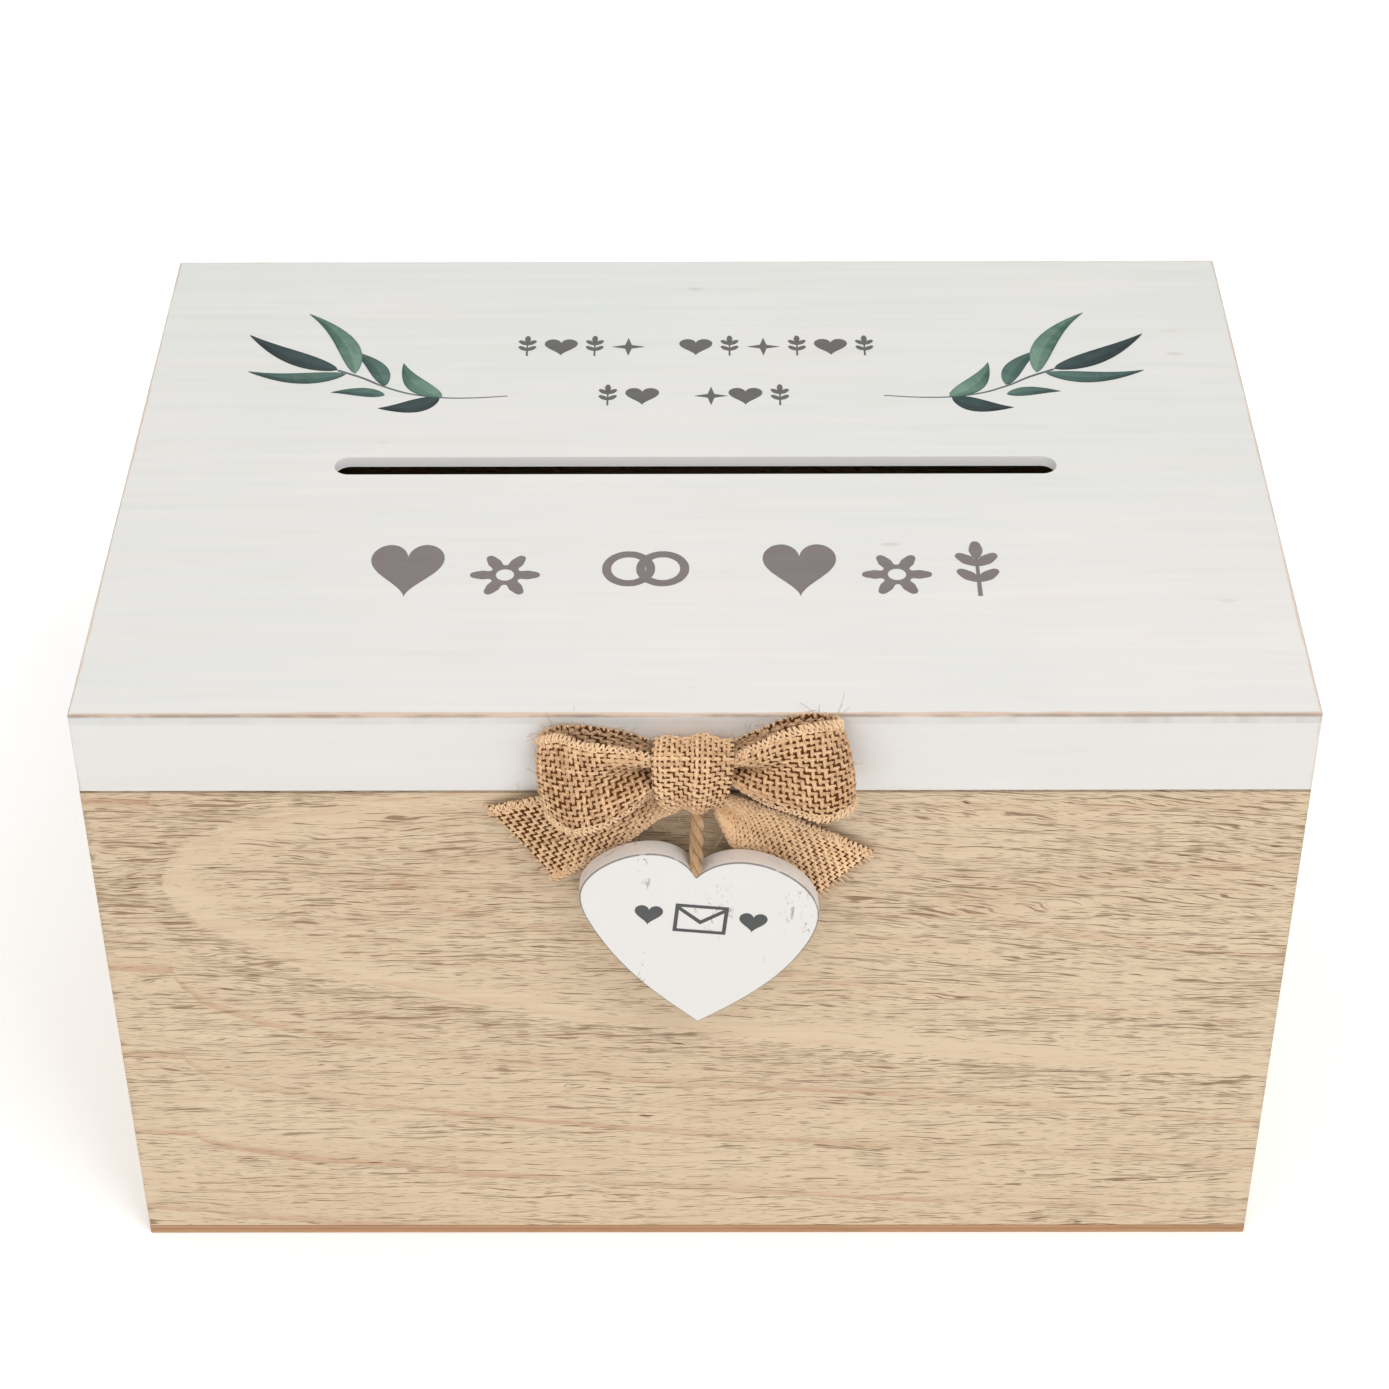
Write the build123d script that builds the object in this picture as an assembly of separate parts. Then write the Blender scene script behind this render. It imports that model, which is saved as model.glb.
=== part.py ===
"""Wedding card box: a hinged-lid wooden box with a card slot, a hessian bow and a hanging heart.

Frame: +Z up, origin at the centre of the underside, the decorated front faces -Y. Millimetres.
"""
import os
from math import cos, radians, sin, tan

from build123d import *

# ---- driving dimensions -------------------------------------------------------------------
BOX_WIDTH = 300.0          # along X
BOX_DEPTH = 210.0          # along Y
BOX_HEIGHT = 182.5         # closed, along Z
LID_HEIGHT = 24.0          # top panel and rails together
SEAM_GAP = 0.3             # open line between the lid and the walls
PLY_THICKNESS = 3.0        # top panel and base panel
BOARD_THICKNESS = 9.0      # walls and lid rails
CORNER_ROUND = 0.6         # softened outer edges of the boards

SLOT_LENGTH = 191.0        # card slot, rounded ends
SLOT_WIDTH = 8.0

HINGE_SPACING = 200.0      # between the two hinges' middles
HINGE_LENGTH = 25.0
LEAF_HEIGHT = 12.0
LEAF_THICKNESS = 1.0
BARREL_RADIUS = 2.0
PIN_RADIUS = 1.0
PIN_CLEARANCE = 0.05       # radial, between pin and knuckle
PIN_HEAD_HEIGHT = 0.8
KNUCKLE_GAP = 0.3          # between knuckles, and between barrel and wood
SCREW_SPACING = 15.0       # between the two screws of a leaf
SCREW_HEAD_RADIUS = 2.0
SCREW_SHANK_RADIUS = 1.0
SCREW_LENGTH = 7.0
SCREW_FIT = 0.05

RIBBON_THICKNESS = 1.2
KNOT_LEFT = -10.0
KNOT_RIGHT = 8.0
KNOT_BOTTOM = 158.7
KNOT_TOP = 177.8
KNOT_BACK = 0.6            # distances in front of the box's front face
KNOT_FRONT = 10.4
KNOT_ROUND = 4.0
GLUE_PAD_X = (-6.0, 4.0)
GLUE_PAD_Z = (162.0, 174.0)
LOOP_WAIST = (5.4, 168.2, 13.0, 5.0, 0.0)        # forward, height, width, thickness, tilt at the knot
LOOP_LEFT_END = (8.6, 165.5, 25.0, 6.0, 20.0)
LOOP_RIGHT_END = (8.6, 172.5, 25.0, 6.0, 20.0)
LOOP_LEFT_REACH = -34.0
LOOP_RIGHT_REACH = 34.5
LOOP_ROUNDING = 0.45       # of the loop's thickness
TAIL_LEFT = [(-3.0, 165.0), (-9.5, 165.0), (-50.8, 154.8), (-37.4, 130.6), (-30.7, 131.9), (-3.0, 156.0)]
TAIL_RIGHT = [(2.0, 165.0), (2.0, 156.0), (9.0, 140.0), (26.5, 121.0), (43.9, 140.2), (7.5, 165.0)]
TAIL_BACK = 0.6
TWINE_DEPTH = 6.75
TWINE_X = 0.4
TWINE_RADIUS = 1.7
TWINE_HIGH_PIVOT = 170.1   # where it swings inside the knot
TWINE_LOW_PIVOT = 142.5    # where the heart tips on it
TWINE_POCKET_WIDTH = 9.0   # room inside the knot for the twine to swing
TWINE_POCKET_DEPTH = 4.0

HEART_LEFT_WIDTH = 28.8    # from the notch to each side
HEART_RIGHT_WIDTH = 30.2
HEART_DROP = 28.9          # unit of the outline's heights
HEART_NOTCH_HEIGHT = 139.0
HEART_THICKNESS = 5.4
HEART_LEAN = 6.5           # degrees by which the right lobe sits lower than the left
HEART_EDGE_ROUND = 0.5
LOBE_TOP = (0.464, -0.202)      # across and down, in the two units above
LOBE_SIDE = (1.0, 0.28)
LOBE_SHOULDER = (0.90, 0.70)
LOBE_FLANK = (0.50, 1.27)
HEART_TIP = (0.0, 1.713)

# ---- derived places -----------------------------------------------------------------------
FRONT = -BOX_DEPTH / 2
BACK = BOX_DEPTH / 2
HALF_WIDTH = BOX_WIDTH / 2
WALL_TOP = BOX_HEIGHT - LID_HEIGHT
RAIL_BOTTOM = WALL_TOP + SEAM_GAP
RAIL_TOP = BOX_HEIGHT - PLY_THICKNESS
HINGE_AXIS_Y = BACK + KNUCKLE_GAP + BARREL_RADIUS
HINGE_AXIS_Z = WALL_TOP + SEAM_GAP / 2
HINGE_PLACES = {"left": -HINGE_SPACING / 2, "right": HINGE_SPACING / 2}


def save(name, shape):
    """Write one named piece and report its volume."""
    shape.label = name
    export_step(shape, os.path.join("parts", name + ".step"))
    print(f"{name:24s} {shape.volume:12.1f} mm3")


def block(x_range, y_range, z_range):
    """A box between two values on each axis."""
    size = [high - low for low, high in (x_range, y_range, z_range)]
    middle = [(high + low) / 2 for low, high in (x_range, y_range, z_range)]
    return Pos(*middle) * Box(*size)


def upright_edges(shape, y_side):
    """The upright edges of a board that lie on one face of the box."""
    return [edge for edge in shape.edges().filter_by(Axis.Z) if abs(edge.center().Y - y_side) < 0.1]


# ---- box body -----------------------------------------------------------------------------
def make_frame_boards(bottom, top):
    """Four butt-jointed boards: full-width front and back, sides between them."""
    inner_front = FRONT + BOARD_THICKNESS
    inner_back = BACK - BOARD_THICKNESS
    full_width = (-HALF_WIDTH, HALF_WIDTH)
    height = (bottom, top)
    front = block(full_width, (FRONT, inner_front), height)
    back = block(full_width, (inner_back, BACK), height)
    left = block((-HALF_WIDTH, -HALF_WIDTH + BOARD_THICKNESS), (inner_front, inner_back), height)
    right = block((HALF_WIDTH - BOARD_THICKNESS, HALF_WIDTH), (inner_front, inner_back), height)
    return {
        "front": fillet(upright_edges(front, FRONT), CORNER_ROUND),
        "back": fillet(upright_edges(back, BACK), CORNER_ROUND),
        "left": left,
        "right": right,
    }


def make_panel(bottom):
    """A thin plywood sheet of the box's full outline, with softened corners."""
    sheet = block((-HALF_WIDTH, HALF_WIDTH), (FRONT, BACK), (bottom, bottom + PLY_THICKNESS))
    return fillet(sheet.edges().filter_by(Axis.Z), CORNER_ROUND)


def make_lid_top():
    """The top panel with its card slot and a softened upper edge."""
    panel = make_panel(RAIL_TOP)
    panel = fillet(panel.faces().sort_by(Axis.Z)[-1].outer_wire().edges(), CORNER_ROUND)
    cutter = extrude(SlotOverall(SLOT_LENGTH, SLOT_WIDTH), 3 * PLY_THICKNESS)
    return panel - Pos(0, 0, RAIL_TOP - PLY_THICKNESS) * cutter


# ---- hinges -------------------------------------------------------------------------------
def along_x(radius, x_low, x_high):
    """A round bar on the hinge axis."""
    middle = (x_low + x_high) / 2
    return Pos(middle, HINGE_AXIS_Y, HINGE_AXIS_Z) * Rot(0, 90, 0) * Cylinder(radius, x_high - x_low)


def screw_points(x_middle, z_middle):
    """Where the screws of one leaf enter its outer face."""
    return [(x_middle + side * SCREW_SPACING / 2, BACK + LEAF_THICKNESS, z_middle) for side in (-1, 1)]


def leaf_middle(direction):
    """Height of a leaf's screw line; direction is +1 for the lid and -1 for the box."""
    clear = BARREL_RADIUS + KNUCKLE_GAP
    return HINGE_AXIS_Z + direction * (clear + (LEAF_HEIGHT - clear) / 2)


def make_leaf(x_middle, direction):
    """One hinge leaf with its knuckles; the box leaf has the two outer ones, the lid leaf the middle one."""
    third = HINGE_LENGTH / 3
    start = x_middle - HINGE_LENGTH / 2
    end = start + HINGE_LENGTH
    half_gap = KNUCKLE_GAP / 2
    outer = [(start, start + third - half_gap), (end - third + half_gap, end)]
    inner = [(start + third + half_gap, end - third - half_gap)]
    own = inner if direction > 0 else outer
    clear = BARREL_RADIUS + KNUCKLE_GAP
    z_near = HINGE_AXIS_Z + direction * clear
    z_far = HINGE_AXIS_Z + direction * LEAF_HEIGHT
    y_range = (BACK, BACK + LEAF_THICKNESS)
    leaf = block((start, end), y_range, sorted((z_near, z_far)))
    far_edges = [edge for edge in leaf.edges().filter_by(Axis.Y) if abs(edge.center().Z - z_far) < 0.1]
    leaf = fillet(far_edges, LEAF_THICKNESS)
    for x_low, x_high in own:
        neck = block((x_low, x_high), y_range, sorted((HINGE_AXIS_Z + direction * SEAM_GAP, z_near)))
        leaf = leaf + neck + along_x(BARREL_RADIUS, x_low, x_high)
    leaf = leaf - along_x(PIN_RADIUS + PIN_CLEARANCE, start - 1, end + 1)
    for point in screw_points(x_middle, leaf_middle(direction)):
        sink = Cone(SCREW_SHANK_RADIUS + SCREW_FIT, SCREW_HEAD_RADIUS + SCREW_FIT, LEAF_THICKNESS)
        leaf = leaf - Pos(point[0], BACK + LEAF_THICKNESS / 2, point[2]) * Rot(-90, 0, 0) * sink
    return leaf


def make_screw(point):
    """A countersunk wood screw driven along -Y, its head flush with the leaf."""
    head = Cone(SCREW_SHANK_RADIUS, SCREW_HEAD_RADIUS, LEAF_THICKNESS)
    shank_length = SCREW_LENGTH - LEAF_THICKNESS
    shank = Cone(SCREW_SHANK_RADIUS / 2, SCREW_SHANK_RADIUS, shank_length)
    screw = Pos(0, 0, -LEAF_THICKNESS / 2) * head + Pos(0, 0, -LEAF_THICKNESS - shank_length / 2) * shank
    recess_length = 1.3 * SCREW_HEAD_RADIUS
    recess_width = 0.25 * SCREW_HEAD_RADIUS
    recess = Box(recess_length, recess_width, recess_width) + Box(recess_width, recess_length, recess_width)
    return Pos(*point) * Rot(-90, 0, 0) * (screw - recess)


def make_screws(x_middle, direction):
    """The two screws of one leaf."""
    return Compound([make_screw(point) for point in screw_points(x_middle, leaf_middle(direction))])


def make_pin(x_middle):
    """The hinge pin, headed at both ends just outside the barrel."""
    reach = HINGE_LENGTH / 2 + KNUCKLE_GAP
    pin = along_x(PIN_RADIUS, x_middle - reach, x_middle + reach)
    for side in (-1, 1):
        ends = sorted((x_middle + side * reach, x_middle + side * (reach + PIN_HEAD_HEIGHT)))
        pin = pin + along_x(1.4 * PIN_RADIUS, *ends)
    return pin


# ---- bow ----------------------------------------------------------------------------------
def make_knot():
    """The wrapped centre of the bow, hollow below where the twine hangs."""
    knot = block((KNOT_LEFT, KNOT_RIGHT), (FRONT - KNOT_FRONT, FRONT - KNOT_BACK), (KNOT_BOTTOM, KNOT_TOP))
    knot = fillet(knot.edges().filter_by(Axis.X), KNOT_ROUND)
    half_pocket = TWINE_POCKET_WIDTH / 2
    pocket = block(
        (TWINE_X - half_pocket, TWINE_X + half_pocket),
        (FRONT - TWINE_DEPTH - TWINE_POCKET_DEPTH / 2, FRONT - TWINE_DEPTH + TWINE_POCKET_DEPTH / 2),
        (KNOT_BOTTOM - 1, TWINE_HIGH_PIVOT + TWINE_RADIUS + 1),
    )
    return knot - pocket


def loop_section(x, forward, height, width, thickness, tilt):
    """A rounded cross-section of a ribbon loop; tilt turns its face upwards, in degrees."""
    upwards = (0, sin(radians(tilt)), cos(radians(tilt)))
    plane = Plane(origin=(x, FRONT - forward, height), x_dir=upwards, z_dir=(1, 0, 0))
    return plane * RectangleRounded(width, thickness, LOOP_ROUNDING * thickness)


def make_loops():
    """Both loops of the bow as plain wedges that widen away from the knot."""
    left = [loop_section(LOOP_LEFT_REACH, *LOOP_LEFT_END), loop_section(KNOT_LEFT, *LOOP_WAIST)]
    right = [loop_section(KNOT_RIGHT, *LOOP_WAIST), loop_section(LOOP_RIGHT_REACH, *LOOP_RIGHT_END)]
    return {"left": loft(left, ruled=True), "right": loft(right, ruled=True)}


def make_tail(corners):
    """One flat ribbon end behind the heart, drawn on the front of the box."""
    plane = Plane(origin=(0, FRONT - TAIL_BACK, 0), x_dir=(1, 0, 0), z_dir=(0, -1, 0))
    return extrude(plane * make_face(Polyline(*corners, close=True)), RIBBON_THICKNESS)


# ---- twine and heart ----------------------------------------------------------------------
def make_twine():
    """The twine from inside the knot to the heart's notch, rounded at both ends."""
    y = FRONT - TWINE_DEPTH
    ends = (TWINE_LOW_PIVOT, TWINE_HIGH_PIVOT)
    twine = Pos(TWINE_X, y, sum(ends) / 2) * Cylinder(TWINE_RADIUS, ends[1] - ends[0])
    for end in ends:
        twine = twine + Pos(TWINE_X, y, end) * Sphere(TWINE_RADIUS)
    return twine


def heart_point(side, across, down):
    """A point of the heart's outline from its notch, with the lean of its hand-cut shape."""
    x = side * across * (HEART_LEFT_WIDTH if side < 0 else HEART_RIGHT_WIDTH)
    return (TWINE_X + x, HEART_NOTCH_HEIGHT - down * HEART_DROP - x * tan(radians(HEART_LEAN)))


def heart_side(side):
    """Half of the outline, from the notch over the lobe to the tip."""
    stops = [(0.0, 0.0), LOBE_TOP, LOBE_SIDE, LOBE_SHOULDER, LOBE_FLANK, HEART_TIP]
    return Spline(*[heart_point(side, across, down) for across, down in stops])


def make_heart():
    """The heart tag, upright in front of the ribbon ends, with softened front and back edges."""
    plane = Plane(
        origin=(0, FRONT - TWINE_DEPTH + HEART_THICKNESS / 2, 0), x_dir=(1, 0, 0), z_dir=(0, -1, 0)
    )
    outline = heart_side(1) + heart_side(-1)
    heart = extrude(plane * make_face(outline.edges()), HEART_THICKNESS)
    front_face = heart.faces().sort_by(Axis.Y)[0]
    back_face = heart.faces().sort_by(Axis.Y)[-1]
    return fillet(front_face.edges() + back_face.edges(), HEART_EDGE_ROUND)


def main():
    """Build and write every piece."""
    os.makedirs("parts", exist_ok=True)
    save("base_panel", make_panel(0))
    for place, board in make_frame_boards(PLY_THICKNESS, WALL_TOP).items():
        save(f"{place}_wall", board)
    save("lid_top_panel", make_lid_top())
    for place, board in make_frame_boards(RAIL_BOTTOM, RAIL_TOP).items():
        save(f"lid_{place}_rail", board)
    for place, x_middle in HINGE_PLACES.items():
        for owner, direction in (("box", -1), ("lid", 1)):
            save(f"hinge_{place}_{owner}_leaf", make_leaf(x_middle, direction))
            save(f"hinge_{place}_{owner}_screws", make_screws(x_middle, direction))
        save(f"hinge_{place}_pin", make_pin(x_middle))
    save("bow_glue_pad", block(GLUE_PAD_X, (FRONT - KNOT_BACK, FRONT), GLUE_PAD_Z))
    save("bow_knot", make_knot())
    for place, loop in make_loops().items():
        save(f"bow_loop_{place}", loop)
    save("bow_tail_left", make_tail(TAIL_LEFT))
    save("bow_tail_right", make_tail(TAIL_RIGHT))
    save("heart_twine", make_twine())
    save("heart_tag", make_heart())


main()
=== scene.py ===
"""Looks of the wedding card box: painted lid, bare wood body, printed ornaments, hessian bow and heart."""

import logging
import math
from collections.abc import Callable
from dataclasses import dataclass, field
from enum import Enum

import bpy
import numpy as np
from mathutils import Matrix, Vector


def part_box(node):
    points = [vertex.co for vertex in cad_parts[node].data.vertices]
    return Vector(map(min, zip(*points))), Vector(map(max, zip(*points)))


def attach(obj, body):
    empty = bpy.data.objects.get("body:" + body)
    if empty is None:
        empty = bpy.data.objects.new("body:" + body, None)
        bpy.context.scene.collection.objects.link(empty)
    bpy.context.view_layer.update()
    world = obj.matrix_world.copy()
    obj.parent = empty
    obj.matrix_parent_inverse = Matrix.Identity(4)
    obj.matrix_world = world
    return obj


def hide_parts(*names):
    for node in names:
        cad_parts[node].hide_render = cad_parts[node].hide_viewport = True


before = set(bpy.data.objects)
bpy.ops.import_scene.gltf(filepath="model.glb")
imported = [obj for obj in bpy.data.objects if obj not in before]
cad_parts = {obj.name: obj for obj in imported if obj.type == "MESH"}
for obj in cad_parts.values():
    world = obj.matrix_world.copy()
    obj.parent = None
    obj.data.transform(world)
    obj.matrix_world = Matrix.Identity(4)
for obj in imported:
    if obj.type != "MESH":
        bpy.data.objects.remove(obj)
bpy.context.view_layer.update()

LOG = logging.getLogger("card_box")
MM = 0.001

WALL_LOW, WALL_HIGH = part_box("front_wall")
LID_LOW, LID_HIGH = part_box("lid_top_panel")
RAIL_LOW, RAIL_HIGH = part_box("lid_front_rail")
HEART_LOW, HEART_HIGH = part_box("heart_tag")
TWINE_LOW, TWINE_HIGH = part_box("heart_twine")
FRONT = WALL_LOW.y
HALF_WIDTH = LID_HIGH.x
HALF_DEPTH = LID_HIGH.y

TINY = 1e-12
SPROUT_POINTS = 7
TOWARDS_EYE = (0.13, -0.91, 0.39)

Number = int | float
Socket = bpy.types.NodeSocket
Material = bpy.types.Material
Piece = bpy.types.Object


class Body(Enum):
    """The bodies that pieces ride on."""

    LID = "lid"
    TWINE = "twine"
    HEART = "heart"


class Slot(Enum):
    """Material slots of the record."""

    HESSIAN = "hessian"
    TWINE = "jute_twine"
    INK = "print_ink"
    LEAF_INK = "leaf_ink"


# ---- shader bench ---------------------------------------------------------------------------
class Signal:
    """A number that varies over a surface, for use in Python expressions."""

    def __init__(self, bench: "Bench", socket: Socket) -> None:
        """Wrap one output socket of a bench's node tree."""
        self.bench = bench
        self.socket = socket

    def calc(self, operation: str, *operands: "Signal | Number", clamp: bool = False) -> "Signal":
        """Add a Math node.

        Args:
            operation: The Math node's operation.
            operands: Its inputs, in order.
            clamp: Whether the result is held between 0 and 1.

        Returns:
            The result as a signal.
        """
        settings = {"operation": operation, "use_clamp": clamp}
        node = self.bench.node("ShaderNodeMath", settings, dict(enumerate(operands)))
        return Signal(self.bench, node.outputs[0])

    def __add__(self, other: "Signal | Number") -> "Signal":
        """Add."""
        return self.calc("ADD", self, other)

    def __sub__(self, other: "Signal | Number") -> "Signal":
        """Subtract."""
        return self.calc("SUBTRACT", self, other)

    def __rsub__(self, other: Number) -> "Signal":
        """Subtract from a number."""
        return self.calc("SUBTRACT", other, self)

    def __mul__(self, other: "Signal | Number") -> "Signal":
        """Multiply."""
        return self.calc("MULTIPLY", self, other)

    def __truediv__(self, other: "Signal | Number") -> "Signal":
        """Divide."""
        return self.calc("DIVIDE", self, other)

    __radd__ = __add__
    __rmul__ = __mul__

    def __abs__(self) -> "Signal":
        """Drop the sign."""
        return self.calc("ABSOLUTE", self)

    def clamped(self) -> "Signal":
        """Hold between 0 and 1."""
        return self.calc("ADD", self, 0, clamp=True)

    def power(self, exponent: Number) -> "Signal":
        """Raise to a power."""
        return self.calc("POWER", self, exponent)

    def fraction(self) -> "Signal":
        """Keep what follows the decimal point."""
        return self.calc("FRACT", self)

    def sine(self) -> "Signal":
        """Take the sine of an angle in radians."""
        return self.calc("SINE", self)

    def least(self, other: "Signal | Number") -> "Signal":
        """Take the smaller of two values."""
        return self.calc("MINIMUM", self, other)

    def most(self, other: "Signal | Number") -> "Signal":
        """Take the larger of two values."""
        return self.calc("MAXIMUM", self, other)

    def step(self, low: Number, high: Number) -> "Signal":
        """Rise smoothly from 0 at low to 1 at high; a low above high makes it fall."""
        settings = {"interpolation_type": "SMOOTHSTEP"}
        if low <= high:
            node = self.bench.node("ShaderNodeMapRange", settings, {0: self, 1: low, 2: high})
            return Signal(self.bench, node.outputs[0])
        node = self.bench.node("ShaderNodeMapRange", settings, {0: self, 1: high, 2: low})
        return 1 - Signal(self.bench, node.outputs[0])


class Bench:
    """One material's node tree and the few ways in which nodes are put into it."""

    def __init__(self, name: str) -> None:
        """Start an empty material."""
        self.material = bpy.data.materials.new(name)
        self.material.use_nodes = True
        self.tree = self.material.node_tree
        self.tree.nodes.clear()

    def node(self, kind: str, settings: dict | None = None, inputs: dict | None = None) -> bpy.types.Node:
        """Add a node.

        Args:
            kind: The node's type.
            settings: Its properties, set first.
            inputs: A value, socket or signal for each input, by name or number.

        Returns:
            The node.
        """
        node = self.tree.nodes.new(kind)
        for key, value in (settings or {}).items():
            setattr(node, key, value)
        for key, value in (inputs or {}).items():
            if isinstance(value, Signal):
                value = value.socket
            if isinstance(value, Socket):
                self.tree.links.new(value, node.inputs[key])
            else:
                node.inputs[key].default_value = value
        return node

    def place(self) -> Socket:
        """The surface's place on the object, in metres."""
        return self.node("ShaderNodeTexCoord").outputs["Object"]

    def facing(self) -> list[Signal]:
        """The size of the surface's direction along the object's X, Y and Z."""
        normal = self.node("ShaderNodeTexCoord").outputs["Normal"]
        return [abs(part) for part in self.split(normal)]

    def split(self, vector: Socket) -> list[Signal]:
        """Take a vector's X, Y and Z apart."""
        node = self.node("ShaderNodeSeparateXYZ", None, {0: vector})
        return [Signal(self, out) for out in node.outputs]

    def uv(self) -> list[Signal]:
        """The piece's own map: along and across."""
        return self.split(self.node("ShaderNodeTexCoord").outputs["UV"])[:2]

    def tone(self) -> Signal:
        """The tone that a piece's mesh stores for each yarn."""
        return Signal(self, self.node("ShaderNodeAttribute", {"attribute_name": "tone"}).outputs["Fac"])

    def stretched(self, vector: Socket, scale: tuple) -> Socket:
        """Scale a vector along each axis."""
        return self.node("ShaderNodeMapping", None, {"Vector": vector, "Scale": scale}).outputs[0]

    def noise(self, vector: Socket, scale: float | tuple, detail: float = 3.0, rough: float = 0.5,
              bend: float = 0.0) -> Signal:
        """Cloudy noise from 0 to 1.

        Args:
            vector: Where it is read.
            scale: Clouds per unit, one number for all axes or one for each.
            detail: Octaves of finer clouds.
            rough: How strong the finer clouds are.
            bend: How far the clouds are drawn out of shape.

        Returns:
            The noise as a signal.
        """
        if isinstance(scale, tuple):
            vector, scale = self.stretched(vector, scale), 1.0
        inputs = {"Vector": vector, "Scale": scale, "Detail": detail, "Roughness": rough, "Distortion": bend}
        return Signal(self, self.node("ShaderNodeTexNoise", None, inputs).outputs["Fac"])

    def cells(self, vector: Socket, scale: float) -> tuple[Signal, Signal]:
        """Scattered cells: the distance to the nearest middle, and a number of each cell's own."""
        node = self.node("ShaderNodeTexVoronoi", None, {"Vector": vector, "Scale": scale})
        shade = self.split(node.outputs["Color"])[0]
        return Signal(self, node.outputs["Distance"]), shade

    def mix(self, factor: Signal | float, low: object, high: object) -> Socket:
        """Blend two colours."""
        inputs = {0: factor, 6: low, 7: high}
        return self.node("ShaderNodeMix", {"data_type": "RGBA"}, inputs).outputs[2]

    def bump(self, height: Signal, depth: float, strength: float = 1.0) -> Socket:
        """Raise the surface by up to depth, in metres, where height is 1."""
        inputs = {"Height": height, "Distance": depth, "Strength": strength}
        return self.node("ShaderNodeBump", None, inputs).outputs[0]

    def finish(self, colour: object, rough: object, normal: Socket | None = None,
               **fixed: object) -> Material:
        """Close the tree with a surface shader.

        Args:
            colour: Base colour, as a socket or a value.
            rough: Roughness, as a signal or a value.
            normal: Bump, if there is one.
            fixed: Values of other sockets, with _ for each space in their names.

        Returns:
            The material.
        """
        inputs = {"Base Color": colour, "Roughness": rough}
        if normal is not None:
            inputs["Normal"] = normal
        inputs.update({key.replace("_", " "): value for key, value in fixed.items()})
        shader = self.node("ShaderNodeBsdfPrincipled", None, inputs)
        self.node("ShaderNodeOutputMaterial", None, {"Surface": shader.outputs[0]})
        return self.material


def srgb(red: Number, green: Number, blue: Number) -> tuple[float, float, float, float]:
    """Turn a colour of 0 to 255 into the linear colour that shaders use."""
    parts = [value / 255 for value in (red, green, blue)]
    line = [part / 12.92 if part <= 0.04045 else ((part + 0.055) / 1.055) ** 2.4 for part in parts]
    return (*line, 1.0)


# ---- finishes -------------------------------------------------------------------------------
@dataclass(frozen=True)
class Pores:
    """One size of pore.

    Attributes:
        lengthwise: Pores per metre along the grain.
        crosswise: Pores per metre across the grain.
        rarity: How much of the noise is left out, from 0 to 1.
        depth: How dark they are.
    """

    lengthwise: float
    crosswise: float
    rarity: float
    depth: float


PORES = (Pores(85, 2700, 0.62, 0.8), Pores(190, 4200, 0.612, 0.7), Pores(110, 2000, 0.69, 1.15))


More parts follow.
